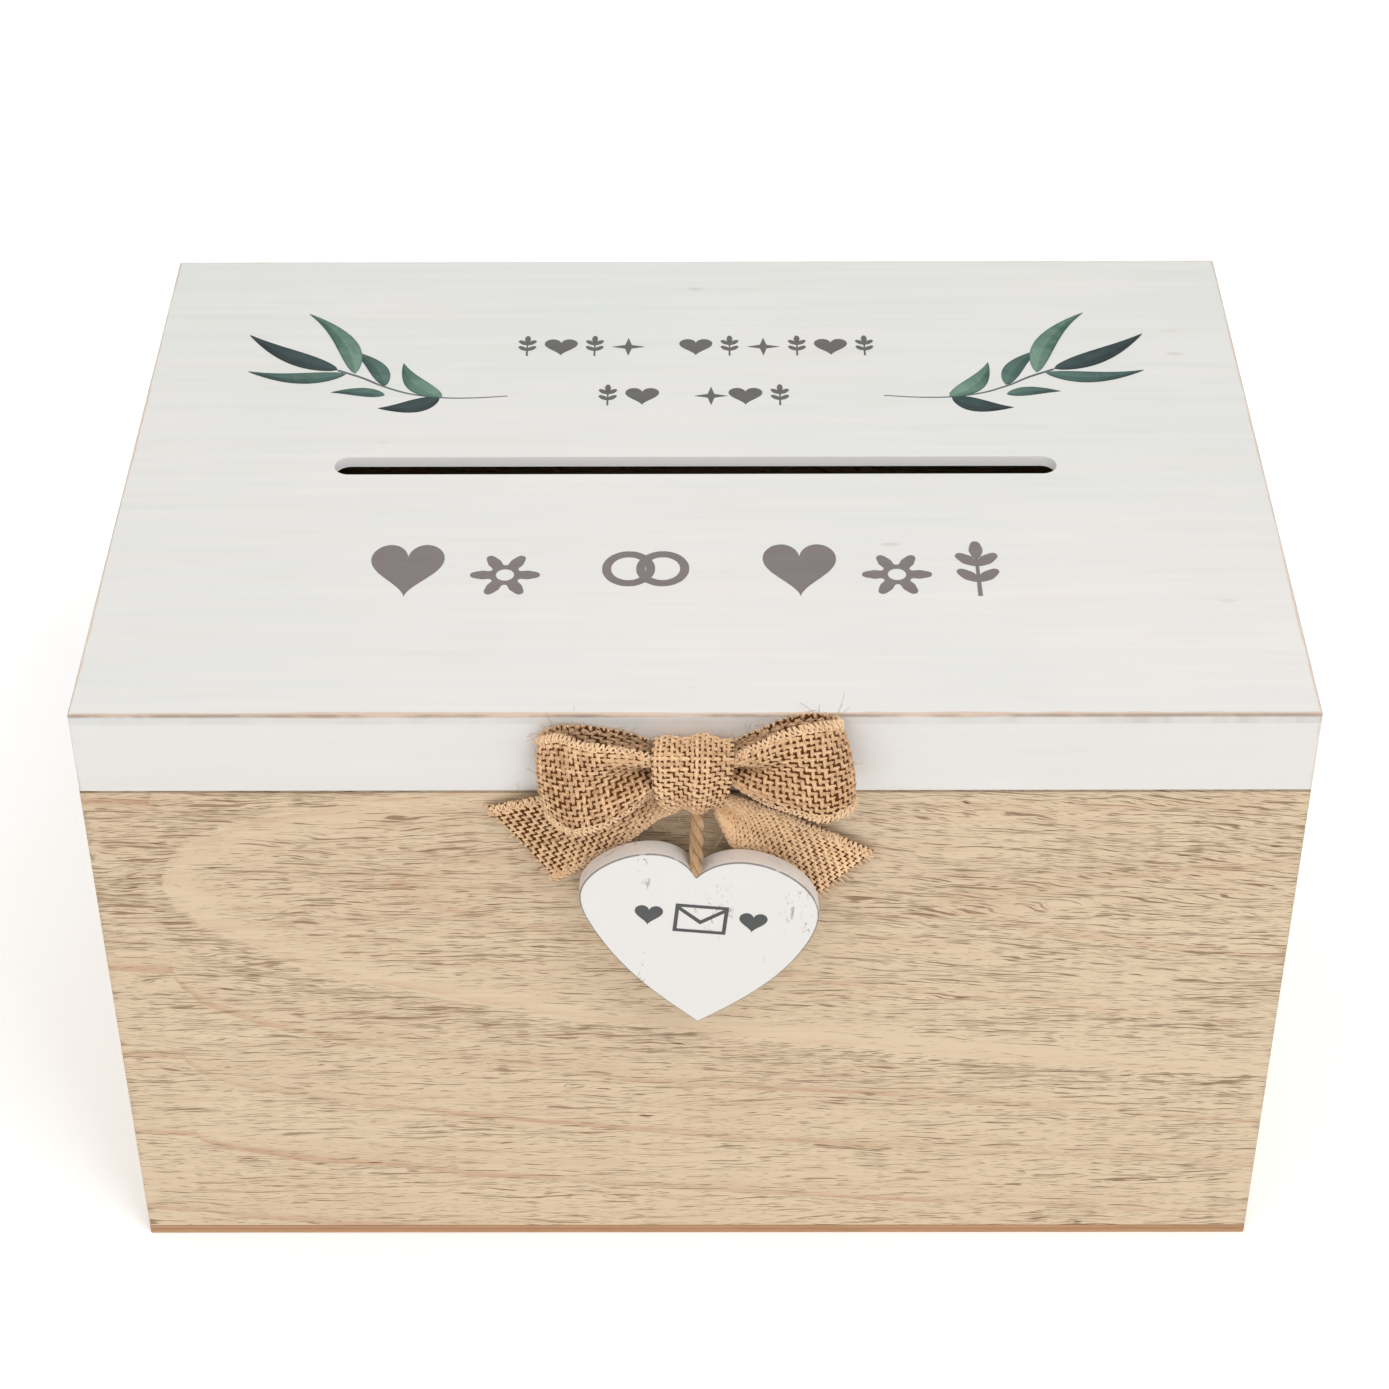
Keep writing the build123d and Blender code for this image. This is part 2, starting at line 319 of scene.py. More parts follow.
@dataclass(frozen=True)
class BareWood:
    """Open-pored light wood whose growth rings run around a pale tongue near the upper left.

    Attributes:
        name: The finish's name.
        along: Which axis the grain runs along, 0 for X and 1 for Y.
        pale: Colour of the early wood.
        warm: Colour of the late wood.
        pore: Colour of the pores.
        blush: Colour of the thin pink lines at the end of each year's growth.
        fleck: Colour of the few reddish flecks.
        ring_gap: Distance between growth rings, in metres.
        tongue_tip: Where the tongue's tip lies along the grain, in metres.
        tongue_height: Height of the tongue's tip, in metres.
        soil_and_seam_shade: Colour of the painted shadow line along the upper edge, where the lid's seam is.
    """

    name: str
    along: int = 0
    pale: tuple = srgb(218, 197, 167)
    warm: tuple = srgb(182, 148, 117)
    pore: tuple = srgb(106, 72, 40)
    blush: tuple = srgb(192, 146, 116)
    fleck: tuple = srgb(138, 88, 58)
    soil_and_seam_shade: tuple = srgb(84, 62, 44)
    ring_gap: float = 0.030
    tongue_tip: float = -0.1335
    tongue_height: float = 0.1265

    def _grain(self, lengthwise: Number, crosswise: Number) -> tuple:
        """Give the scales of the three axes from those along and across the grain."""
        scales = [crosswise] * 3
        scales[self.along] = lengthwise
        return tuple(scales)

    def build(self) -> Material:
        """Make the material."""
        bench = Bench(self.name)
        place = bench.place()
        parts = bench.split(place)
        height = parts[2]
        far = parts[self.along].step(-0.03, 0.15)
        long_place = bench.stretched(place, self._grain(1.0, 6.0))
        ring = self._rings(bench, parts, long_place)
        band = ((ring / self.ring_gap) + 8.0).fraction()
        line = band.step(0.86, 0.985) * band.step(1.0, 0.985)
        fade = bench.noise(long_place, 7.0, 2.0).step(0.3, 0.6)
        late = line * (0.45 + fade * 0.55) + band.step(0.45, 0.95) * band.step(1.0, 0.95) * 0.22
        late = late * ring.step(0.004, 0.02) - self._tongue_rim(ring, -0.004) * 0.25
        fine = bench.noise(place, self._grain(36, 680), 4.0, 0.62)
        cloud = bench.noise(long_place, 9.0, 2.0)
        pores = self._pores(bench, place, long_place, ring, band)
        tint = late * 0.34 + (fine - 0.5) * 0.85 + (cloud - 0.5) * 0.35 + height * 1.1 + 0.06 - far * 0.13
        colour = bench.mix(tint.clamped(), self.pale, self.warm)
        colour = bench.mix((line * fade * (fine * 1.6 - 0.3)).clamped() * 0.55, colour, self.blush)
        colour = bench.mix((pores * (far * 0.08 + 0.84)).clamped(), colour, self.pore)
        blotch = bench.noise(place, self._grain(34, 520), 4.0, 0.7)
        colour = bench.mix(blotch.step(0.7, 0.78) * 0.6, colour, self.fleck)
        # Painted shade: a dark line along the wall's top edge stands for the shadow in the seam under the
        # lid.
        rim = height.step(WALL_HIGH.z - 0.0007, WALL_HIGH.z - 0.0002) * bench.facing()[2].step(0.5, 0.2)
        colour = bench.mix(rim * 0.6, colour, self.soil_and_seam_shade)
        normal = bench.bump(fine * 0.5 - pores * 0.9, 0.00012, 0.8)
        return bench.finish(colour, 0.62 + fine * 0.12, normal, Specular_IOR_Level=0.25)

    def _rings(self, bench: Bench, parts: list[Signal], long_place: Socket) -> Signal:
        """Distance outside the tongue's outline, with the outlines flattening out farther away."""
        beyond_tip = parts[self.along] - self.tongue_tip
        drift = (bench.noise(long_place, 3.2, 2.0, 0.5) - 0.5) * 0.012
        ripple = (bench.noise(long_place, 15.0, 3.0, 0.55) - 0.5) * 0.007
        above = parts[2] - self.tongue_height + beyond_tip * 0.03 + drift + ripple
        away = (above * above + 0.00003).power(0.5)
        return away - beyond_tip.most(0).power(0.5) * away.step(0.16, 0.0) * 0.15

    @staticmethod
    def _tongue_rim(ring: Signal, full: float) -> Signal:
        """Mark the narrow strip just inside the tongue's outline, at its full strength from a distance."""
        return ring.step(-0.012, full) * ring.step(0.003, -0.001)

    def _pores(self, bench: Bench, place: Socket, long_place: Socket, ring: Signal, band: Signal) -> Signal:
        """Short dark dashes along the grain, missing from the tongue's rim and crowded below it.

        Args:
            bench: The material's bench.
            place: The surface's place.
            long_place: The place, squeezed along the grain.
            ring: Distance outside the tongue's outline.
            band: Place between two growth rings, from 0 to 1.

        Returns:
            1 in a pore and 0 outside.
        """
        parts = bench.split(place)
        far = parts[self.along].most(0)
        lean = far * parts[2].step(0.05, 0.12) * 0.09
        bend = (bench.noise(long_place, 26.0, 2.0) - 0.5) * 0.006 + lean
        offset = bench.node("ShaderNodeCombineXYZ", None, {2: bend}).outputs[0]
        bent = bench.node("ShaderNodeVectorMath", {"operation": "ADD"}, {0: place, 1: offset}).outputs[0]
        crowd = (bench.noise(place, self._grain(24, 96), 3.0, 0.6) - 0.5) * 0.24 + band.step(0.6, 0.0) * 0.04
        crowd = crowd + ring.step(0.03, 0.012) * ring.step(0.001, 0.004) * 0.07
        crowd = crowd - self._tongue_rim(ring, -0.003) * 0.14
        crowd = crowd + parts[2].step(0.03, 0.15) * 0.05 + far.step(0.0, 0.15) * 0.022
        total = None
        for pores in PORES:
            streak = bench.noise(bent, self._grain(pores.lengthwise, pores.crosswise), 1.5, 0.5)
            dash = (streak + crowd * 0.5).step(pores.rarity, pores.rarity + 0.08) * pores.depth
            total = dash if total is None else total.most(dash)
        return total


@dataclass(frozen=True)
class RubbedPaint:
    """Matt off-white paint on wood, rubbed through along the lid's upper edges.

    Attributes:
        name: The finish's name.
        low: Lowest corner of the painted block.
        high: Highest corner of the painted block.
        slot: Half length and half width of the opening whose rim is rubbed, or None.
        white: Colour of the thick paint.
        cool: Colour of the thinner paint, also mixed in towards the back as painted shade.
        painted_slot_light: Painted light on the slot's walls, which stand in shade; paler than the paint.
        wood: Colour of the bare line.
        grey: Colour of the soiled edge of the bare line.
    """

    name: str
    low: Vector
    high: Vector
    slot: tuple[float, float] | None = None
    white: tuple = srgb(225, 220, 216)
    cool: tuple = srgb(212, 214, 210)
    painted_slot_light: tuple = srgb(250, 249, 247)
    wood: tuple = srgb(206, 178, 155)
    grey: tuple = srgb(150, 134, 122)

    def build(self) -> Material:
        """Make the material."""
        bench = Bench(self.name)
        place = bench.place()
        brushed = bench.noise(place, (15, 300, 300), 4.0, 0.6)
        cloud = bench.noise(place, 14.0, 3.0, 0.55)
        wear, soil_and_seam_shade = self._wear(bench, place)
        scuff = self._scuffs(bench, place)
        # Painted shade: the paint is mixed towards the cool colour farther back.
        back = bench.split(place)[1].step(-0.06, 0.12)
        tint = cloud * 0.9 + (brushed - 0.5) * 1.5 + back * 0.45 - 0.05
        colour = bench.mix(tint.clamped(), self.white, self.cool)
        blush = bench.noise(place, (24, 156, 156), 3.0).step(0.5, 0.85) * 0.09
        colour = bench.mix(blush.clamped(), colour, self.wood)
        colour = bench.mix((self._smudges(bench, place) * 0.2 + scuff * 0.2).clamped(), colour, self.grey)
        colour = bench.mix(wear.clamped(), colour, self.wood)
        colour = bench.mix(soil_and_seam_shade.clamped(), colour, self.grey)
        if self.slot:
            # Painted light: the slot's upright walls, which stand in shade, get a colour paler than the
            # paint.
            wall = self._beyond_slot(bench.split(place)).step(0.001, 0.0004)
            upright = bench.facing()[2].step(0.5, 0.2)
            colour = bench.mix(wall * upright * 0.9, colour, self.painted_slot_light)
        normal = bench.bump(brushed * 0.6 + cloud * 0.3 - wear * 0.7, 0.00008, 0.8)
        return bench.finish(colour, 0.5 + brushed * 0.12, normal, Specular_IOR_Level=0.28)

    def _edge(self, bench: Bench, place: Socket) -> tuple[Signal, Signal, Signal]:
        """Distances to the nearest side, to the top, and whether the nearest side is the front."""
        parts = bench.split(place)
        sides = []
        for axis in range(2):
            middle = (self.low[axis] + self.high[axis]) / 2
            half = (self.high[axis] - self.low[axis]) / 2
            sides.append(half - abs(parts[axis] - middle))
        ahead = parts[1] - self.low.y
        front = (ahead - sides[0]).step(0.0004, -0.0004) * ahead.step(0.004, 0.002)
        return sides[0].least(sides[1]), self.high.z - parts[2], front

    def _wear(self, bench: Bench, place: Socket) -> tuple[Signal, Signal]:
        """The rubbed line along the upper edges and corners, and the soiled line inside it."""
        side, below, front = self._edge(bench, place)
        parts = bench.split(place)
        ragged = bench.noise(place, (110, 110, 165), 4.0, 0.7)
        patchy = bench.noise(place, 21.0, 2.0)
        reach = (ragged - 0.36) * 0.0011 + (patchy - 0.42) * 0.0013 + front * 0.00014 + 0.00028
        edge = side.most(below)
        wear = (edge - reach).step(0.0003, -0.0001) * (0.55 + front * 0.25)
        dirt = bench.noise(place, (60, 60, 120), 3.0, 0.6).step(0.38, 0.62)
        soil_and_seam_shade = side.step(0.0004, 0.0001) * below.step(0.0013, 0.0005) * dirt * 0.75
        x_gap = self.high.x - abs(parts[0])
        y_gap = self.high.y - abs(parts[1])
        corner = (x_gap.most(y_gap) - (ragged - 0.35) * 0.0022).step(0.0006, 0.0) * patchy.step(0.3, 0.6)
        wear = wear.most(corner * 0.5)
        if self.slot:
            rim = self._beyond_slot(parts)
            wear = wear.most((rim - (ragged - 0.5) * 0.0005).step(0.00025, 0.0) * 0.1)
        return wear, soil_and_seam_shade

    def _beyond_slot(self, parts: list[Signal]) -> Signal:
        """Distance outside the round-ended slot's wall."""
        half_length, half_width = self.slot
        beyond = (abs(parts[0]) - (half_length - half_width)).most(0)
        return (beyond * beyond + parts[1] * parts[1]).power(0.5) - half_width

    def _smudges(self, bench: Bench, place: Socket) -> Signal:
        """Soft upright smudges on the thin board's front edge, stronger to the right."""
        parts = bench.split(place)
        below = self.high.z - parts[2]
        streaks = bench.noise(place, (110, 10, 20), 3.0, 0.6).step(0.4, 0.75)
        board = below.step(0.0032, 0.0027) * below.step(0.0004, 0.0009)
        return (streaks + 0.35) * board * (0.55 + parts[0].step(0.05, 0.14) * 0.9)

    @staticmethod
    def _scuffs(bench: Bench, place: Socket) -> Signal:
        """Small faint knocks scattered over the faces."""
        distance, own = bench.cells(bench.stretched(place, (60, 170, 170)), 1.0)
        return distance.step(0.2, 0.08) * own.step(0.965, 0.99)


@dataclass(frozen=True)
class HeartPaint:
    """Matt white paint with upright hairline crackle and a rubbed outline."""

    name: str = "heart_paint"
    white: tuple = srgb(227, 224, 220)
    worn: tuple = srgb(106, 98, 90)
    blush: tuple = srgb(208, 186, 172)

    def build(self) -> Material:
        """Make the material."""
        bench = Bench(self.name)
        place = bench.place()
        forward = bench.facing()[1]
        rounding = forward.step(0.25, 0.6) * forward.step(0.995, 0.93)
        ragged = bench.noise(place, 420.0, 4.0, 0.7)
        patchy = bench.noise(place, 85.0, 3.0, 0.6)
        wear = rounding * (ragged * 0.8 + patchy * 0.9).step(0.58, 0.78)
        cracks = bench.noise(place, (900, 100, 330), 3.0, 0.6, 0.8).step(0.58, 0.66)
        column = bench.noise(place, (120, 10, 26), 2.0, 0.5).step(0.55, 0.68)
        crackle = cracks * column * forward.step(0.9, 1.0)
        side = forward.step(0.9, 0.3)
        knocks = side * bench.noise(place, (160, 420, 160), 4.0, 0.65).step(0.58, 0.72)
        colour = bench.mix((side * patchy.step(0.25, 0.75) * 0.35).clamped(), self.white, self.blush)
        colour = bench.mix((wear * 0.85 + crackle * 0.55 + knocks * 0.3).clamped(), colour, self.worn)
        normal = bench.bump(ragged * 0.3 - crackle - wear * 0.6, 0.0001, 0.6)
        return bench.finish(colour, 0.5 + patchy * 0.12, normal, Specular_IOR_Level=0.28)


@dataclass(frozen=True)
class Plywood:
    """Thin plywood: three plies on the edge, long grain on the face."""

    name: str = "plywood_sheet"
    thickness: float = 0.003
    face: tuple = srgb(198, 164, 126)
    edge: tuple = srgb(200, 160, 124)
    dark: tuple = srgb(128, 88, 60)

    def build(self) -> Material:
        """Make the material."""
        bench = Bench(self.name)
        place = bench.place()
        up = bench.facing()[2]
        height = bench.split(place)[2] / self.thickness
        core = abs(height - 0.5).step(0.22, 0.14)
        grain = bench.noise(place, (24, 480, 1260), 4.0, 0.6)
        burn = bench.noise(place, (52, 52, 520), 3.0, 0.6).step(0.45, 0.8)
        top_glue = height.step(0.86, 0.97)
        colour = bench.mix((grain * 0.4 + core * 0.2).clamped(), self.edge, self.dark)
        colour = bench.mix((top_glue * 0.75 + burn * 0.3).clamped(), colour, self.dark)
        colour = bench.mix(up.step(0.4, 0.9), colour, bench.mix(grain, self.face, self.edge))
        return bench.finish(colour, 0.72, bench.bump(grain, 0.0001, 0.7), Specular_IOR_Level=0.2)


@dataclass(frozen=True)
class Brass:
    """Satin brass with fine drawn lines and a light tarnish."""

    name: str
    bright: tuple = srgb(208, 178, 120)
    dull: tuple = srgb(170, 138, 88)

    def build(self) -> Material:
        """Make the material."""
        bench = Bench(self.name)
        place = bench.place()
        lines = bench.noise(place, (60, 2400, 2400), 3.0, 0.6)
        tarnish = bench.noise(place, 110.0, 4.0, 0.65)
        colour = bench.mix(tarnish.step(0.35, 0.75), self.bright, self.dull)
        normal = bench.bump(lines, 0.00003, 0.5)
        return bench.finish(colour, 0.22 + tarnish * 0.25, normal, Metallic=1.0)


@dataclass(frozen=True)
class Yarn:
    """Jute yarn: dry, hairy and uneven in tone, with its fibres running around it.

    Attributes:
        name: The finish's name.
        light: Colour of the sunlit fibres.
        deep: Colour between the fibres.
        turns: Fibre lines around the yarn.
    """

    name: str
    light: tuple = srgb(250, 210, 164)
    deep: tuple = srgb(154, 102, 58)
    turns: float = 5.0

    def build(self) -> Material:
        """Make the material."""
        bench = Bench(self.name)
        along, around = bench.uv()
        twist = ((along * 5200 + around * (2 * math.pi * self.turns)).sine() * 0.5) + 0.5
        place = bench.place()
        fuzz = bench.noise(place, 2600.0, 3.0, 0.7)
        patch = bench.noise(place, 260.0, 3.0, 0.6)
        tint = bench.tone() * 0.5 + (patch - 0.5) * 0.7 + (fuzz - 0.5) * 0.8 + (twist - 0.5) * 0.3 + 0.18
        colour = bench.mix(tint.clamped(), self.deep, self.light)
        normal = bench.bump(twist * 0.5 + fuzz * 0.8, 0.00012, 0.9)
        hairy = {"Sheen_Weight": 0.25, "Sheen_Roughness": 0.6}
        return bench.finish(colour, 0.9, normal, Specular_IOR_Level=0.12, **hairy)


@dataclass(frozen=True)
class GapShade:
    """The dark sheet that shows in the gaps of the weave: its colour is painted shade between the yarns."""

    name: str = "hessian_gap_shade"
    light: tuple = srgb(116, 70, 32)
    deep: tuple = srgb(64, 36, 14)

    def build(self) -> Material:
        """Make the material."""
        bench = Bench(self.name)
        place = bench.place()
        fuzz = bench.noise(place, 1500.0, 3.0, 0.7)
        colour = bench.mix(fuzz, self.deep, self.light)
        return bench.finish(colour, 0.95, bench.bump(fuzz, 0.0001, 0.8), Specular_IOR_Level=0.08)


@dataclass(frozen=True)
class Ink:
    """Flat printed ink with a slightly thin, grainy cover."""

    name: str
    full: tuple
    thin: tuple

    def build(self) -> Material:
        """Make the material."""
        bench = Bench(self.name)
        place = bench.place()
        grain = bench.noise(place, 1400.0, 3.0, 0.7)
        cloud = bench.noise(place, (60, 240, 240), 3.0, 0.6)
        colour = bench.mix((grain * 0.5 + cloud * 0.6 - 0.15).clamped(), self.full, self.thin)
        return bench.finish(colour, 0.62, bench.bump(grain, 0.00002, 0.5), Specular_IOR_Level=0.25)


@dataclass(frozen=True)
class LeafInk:
    """Watercolour leaf print: pooled pigment towards the tip and one side, with a soft mottle."""

    name: str
    dark: tuple
    light: tuple
    pooling: float = 0.5

    def build(self) -> Material:
        """Make the material."""
        bench = Bench(self.name)
        along, across = bench.uv()
        place = bench.place()
        wash = bench.noise(place, 150.0, 4.0, 0.62, 0.8)
        grain = bench.noise(place, 1200.0, 3.0, 0.7)
        pool = along.step(0.1, 0.9) * self.pooling + across.step(0.35, 0.75) * 0.35
        rim = abs(across - 0.5).step(0.36, 0.49) * 0.25
        vein = abs(across - 0.5).step(0.045, 0.0) * 0.3
        tint = pool + rim + (wash - 0.5) * 1.1 + (grain - 0.5) * 0.25 + 0.12 - vein
        colour = bench.mix(tint.clamped(), self.light, self.dark)
        return bench.finish(colour, 0.6, bench.bump(grain, 0.00002, 0.4), Specular_IOR_Level=0.25)


@dataclass(frozen=True)
class Studio:
    """Plain matt floor of the studio."""

    name: str = "studio_floor"
    pale: tuple = (0.93, 0.93, 0.93, 1.0)
    glow: float = 0.2

    def build(self) -> Material:
        """Make the material."""
        glow = {"Emission_Color": self.pale, "Emission_Strength": self.glow}
        return Bench(self.name).finish(self.pale, 0.9, Specular_IOR_Level=0.0, **glow)


# ---- workshop helpers -----------------------------------------------------------------------
def deselect() -> None:
    """Leave nothing selected, so that an operator acts on the new piece alone."""
    if bpy.context.object and bpy.context.object.mode != "OBJECT":
        bpy.ops.object.mode_set(mode="OBJECT")
    bpy.ops.object.select_all(action="DESELECT")


def dress(piece: Piece, material: Material) -> None:
    """Give every face of a piece one material."""
    piece.data.materials.clear()
    piece.data.materials.append(material)


def pick(piece: Piece) -> None:
    """Select a piece alone and make it the active one."""
    deselect()
    piece.select_set(True)
    bpy.context.view_layer.objects.active = piece


def settle(piece: Piece) -> None:
    """Move a piece's place into its mesh, so that its object sits at the origin."""
    pick(piece)
    bpy.ops.object.transform_apply(location=True, rotation=True, scale=True)


def mesh_piece(name: str, points: np.ndarray, faces: list, smooth: bool = True) -> Piece:
    """Make a mesh object.

    Args:
        name: The piece's name.
        points: Its vertices, in metres.
        faces: Its faces, as lists of vertex numbers.
        smooth: Whether it is shaded smooth.

    Returns:
        The object, linked to the scene.
    """
    mesh = bpy.data.meshes.new(name)
    mesh.from_pydata([tuple(p) for p in points], [], faces)
    mesh.update()
    if smooth:
        mesh.shade_smooth()
    piece = bpy.data.objects.new(name, mesh)
    bpy.context.scene.collection.objects.link(piece)
    return piece


def join(name: str, parts: list[Piece]) -> Piece:
    """Join parts into one piece."""
    deselect()
    for part in parts:
        part.select_set(True)
    bpy.context.view_layer.objects.active = parts[0]
    if len(parts) > 1:
        bpy.ops.object.join()
    parts[0].name = name
    parts[0].data.name = name
    return parts[0]


def ride(piece: Piece, body: Body, material: Material | None = None) -> None:
    """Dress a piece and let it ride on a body."""
    if material is not None:
        dress(piece, material)
    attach(piece, body.value)
    LOG.info("%s rides on %s", piece.name, body.value)


def curve_through(points: np.ndarray, count: int) -> np.ndarray:
    """Read a smooth curve through points.

    Args:
        points: The points, one per row.
        count: How many points to return.

    Returns:
        Points evenly spread over the curve's parameter.
    """
    padded = np.vstack([2 * points[0] - points[1], points, 2 * points[-1] - points[-2]])
    place = np.linspace(0, len(points) - 1, count)
    start = np.minimum(place.astype(int), len(points) - 2)
    t = (place - start)[:, None]
    a, b, c, d = (padded[start + k] for k in range(4))
    return 0.5 * (2 * b + (c - a) * t + (2 * a - 5 * b + 4 * c - d) * t**2 + (3 * b - a - 3 * c + d) * t**3)


def unit(vectors: np.ndarray) -> np.ndarray:
    """Bring vectors, along the last axis, to length 1."""
    return vectors / (np.linalg.norm(vectors, axis=-1, keepdims=True) + TINY)


def travelled(line: np.ndarray) -> np.ndarray:
    """Distance along a line at each of its points."""
    return np.concatenate([[0], np.cumsum(np.linalg.norm(np.diff(line, axis=0), axis=1))])


def eased(count: int, every: int, draw: Callable[[int], np.ndarray]) -> np.ndarray:
    """Draw a random value at every few of the points and run straight between them.

    Args:
        count: How many points there are.
        every: Points from one drawn value to the next.
        draw: Draws as many values as it is asked for.

    Returns:
        A value for each point.
    """
    marks = np.arange(0, count + every, every)
    return np.interp(np.arange(count), marks, draw(len(marks)))


def sprout(start: np.ndarray, reach: np.ndarray, bend: np.ndarray) -> np.ndarray:
    """Run a short line from its start towards a reach, bent more and more sideways."""
    share = np.linspace(0, 1, SPROUT_POINTS)[:, None]
    return start + reach * share + bend * share**2


@dataclass
class Strands:
    """A bundle of thin tubes that becomes one mesh, with a map along each tube and a tone for each.

    Attributes:
        sides: Sides of each tube.
        points, faces, maps, tones: What has been gathered so far.
    """

    sides: int = 6
    points: list = field(default_factory=list)
    faces: list = field(default_factory=list)
    maps: list = field(default_factory=list)
    tones: list = field(default_factory=list)
    count: int = 0

    def add(self, line: np.ndarray, width: np.ndarray | float, depth: np.ndarray | float, tone: float,
            up: np.ndarray | None = None) -> None:
        """Add one tube with closed ends.

        Args:
            line: Its middle line.
            width: Half its width, along the surface that it lies on.
            depth: Half its thickness.
            tone: Its tone, from 0 to 1.
            up: The direction of its thickness at each point.
        """
        n = len(line)
        heading = unit(np.gradient(line, axis=0))
        if up is None:
            up = np.tile(np.array(TOWARDS_EYE), (n, 1))
        side = unit(np.cross(heading, up))
        top = np.cross(side, heading)
        width = np.broadcast_to(width, n)[:, None, None]
        depth = np.broadcast_to(depth, n)[:, None, None]
        turn = np.arange(self.sides) * 2 * math.pi / self.sides
        ring = np.cos(turn)[None, :, None] * side[:, None, :] * width
        ring = ring + np.sin(turn)[None, :, None] * top[:, None, :] * depth
        tube = (line[:, None, :] + ring).reshape(-1, 3)
        self.points.append(tube)
        along = np.repeat(travelled(line), self.sides)
        self.maps.append(np.stack([along, np.tile(turn / (2 * math.pi), n)], 1))
        self.tones.append(np.full(len(tube), tone))
        first = self.count + np.arange(n - 1)[:, None] * self.sides
        here = np.arange(self.sides)[None, :]
        after = (here + 1) % self.sides
        following = first + self.sides
        quads = np.stack([first + here, first + after, following + after, following + here], -1)
        self.faces.extend(quads.reshape(-1, 4).tolist())
        self.faces.append(list(range(self.count + self.sides - 1, self.count - 1, -1)))
        last = self.count + (n - 1) * self.sides
        self.faces.append(list(range(last, last + self.sides)))
        self.count += len(tube)

    def piece(self, name: str) -> Piece:
        """Make the mesh object of all the tubes."""
        made = mesh_piece(name, np.vstack(self.points), self.faces)
        mesh = made.data
        tones = mesh.attributes.new("tone", "FLOAT", "POINT")
        tones.data.foreach_set("value", np.concatenate(self.tones).astype(np.float32))
        corners = np.zeros(len(mesh.loops), np.int32)
        mesh.loops.foreach_get("vertex_index", corners)
        layer = mesh.uv_layers.new(name="along")
        layer.data.foreach_set("uv", np.vstack(self.maps)[corners].astype(np.float32).ravel())
        return made


# ---- box ------------------------------------------------------------------------------------
@dataclass
class BoxWork:
    """The wooden box and its hinges: the frame's own pieces, dressed."""

    slot_length: float = 0.191
    slot_width: float = 0.008

    def dress(self) -> None:
        """Give each wooden and brass piece its finish."""
        low = Vector((-HALF_WIDTH, -HALF_DEPTH, RAIL_LOW.z))
        slot = (self.slot_length / 2, self.slot_width / 2)
        lengthwise = BareWood("wood_lengthwise").build()
        behind = BareWood("wood_back", tongue_tip=0.035, tongue_height=0.062).build()
        sideways = BareWood("wood_sideways", along=1, tongue_tip=-0.06, tongue_height=0.04).build()
        panel = RubbedPaint("lid_top_paint", LID_LOW, LID_HIGH, slot).build()
        high = Vector((HALF_WIDTH, HALF_DEPTH, LID_HIGH.z))
        rail_white, rail_cool = srgb(225, 221, 218), srgb(219, 219, 214)
        rails = RubbedPaint("lid_rail_paint", low, high, white=rail_white, cool=rail_cool).build()
        brass = Brass("hinge_brass_satin").build()
        pin = Brass("pin_brass", bright=srgb(206, 170, 104)).build()
        screw = Brass("screw_brass", bright=srgb(214, 178, 104), dull=srgb(150, 116, 70)).build()
        heart = HeartPaint().build()
        plywood = Plywood().build()
        glue = Ink("set_glue", srgb(222, 214, 196), srgb(204, 192, 168)).build()
        choice = {
            "front_wall": lengthwise, "back_wall": behind, "left_wall": sideways, "right_wall": sideways,
            "base_panel": plywood, "lid_top_panel": panel, "heart_tag": heart, "bow_glue_pad": glue,
        }
        endings = {"rail": rails, "leaf": brass, "pin": pin, "screws": screw}
        for name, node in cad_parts.items():
            material = choice.get(name, endings.get(name.rsplit("_", 1)[-1]))
            if material is not None:
                dress(node, material)
                LOG.info("dressed %s with %s", name, material.name)


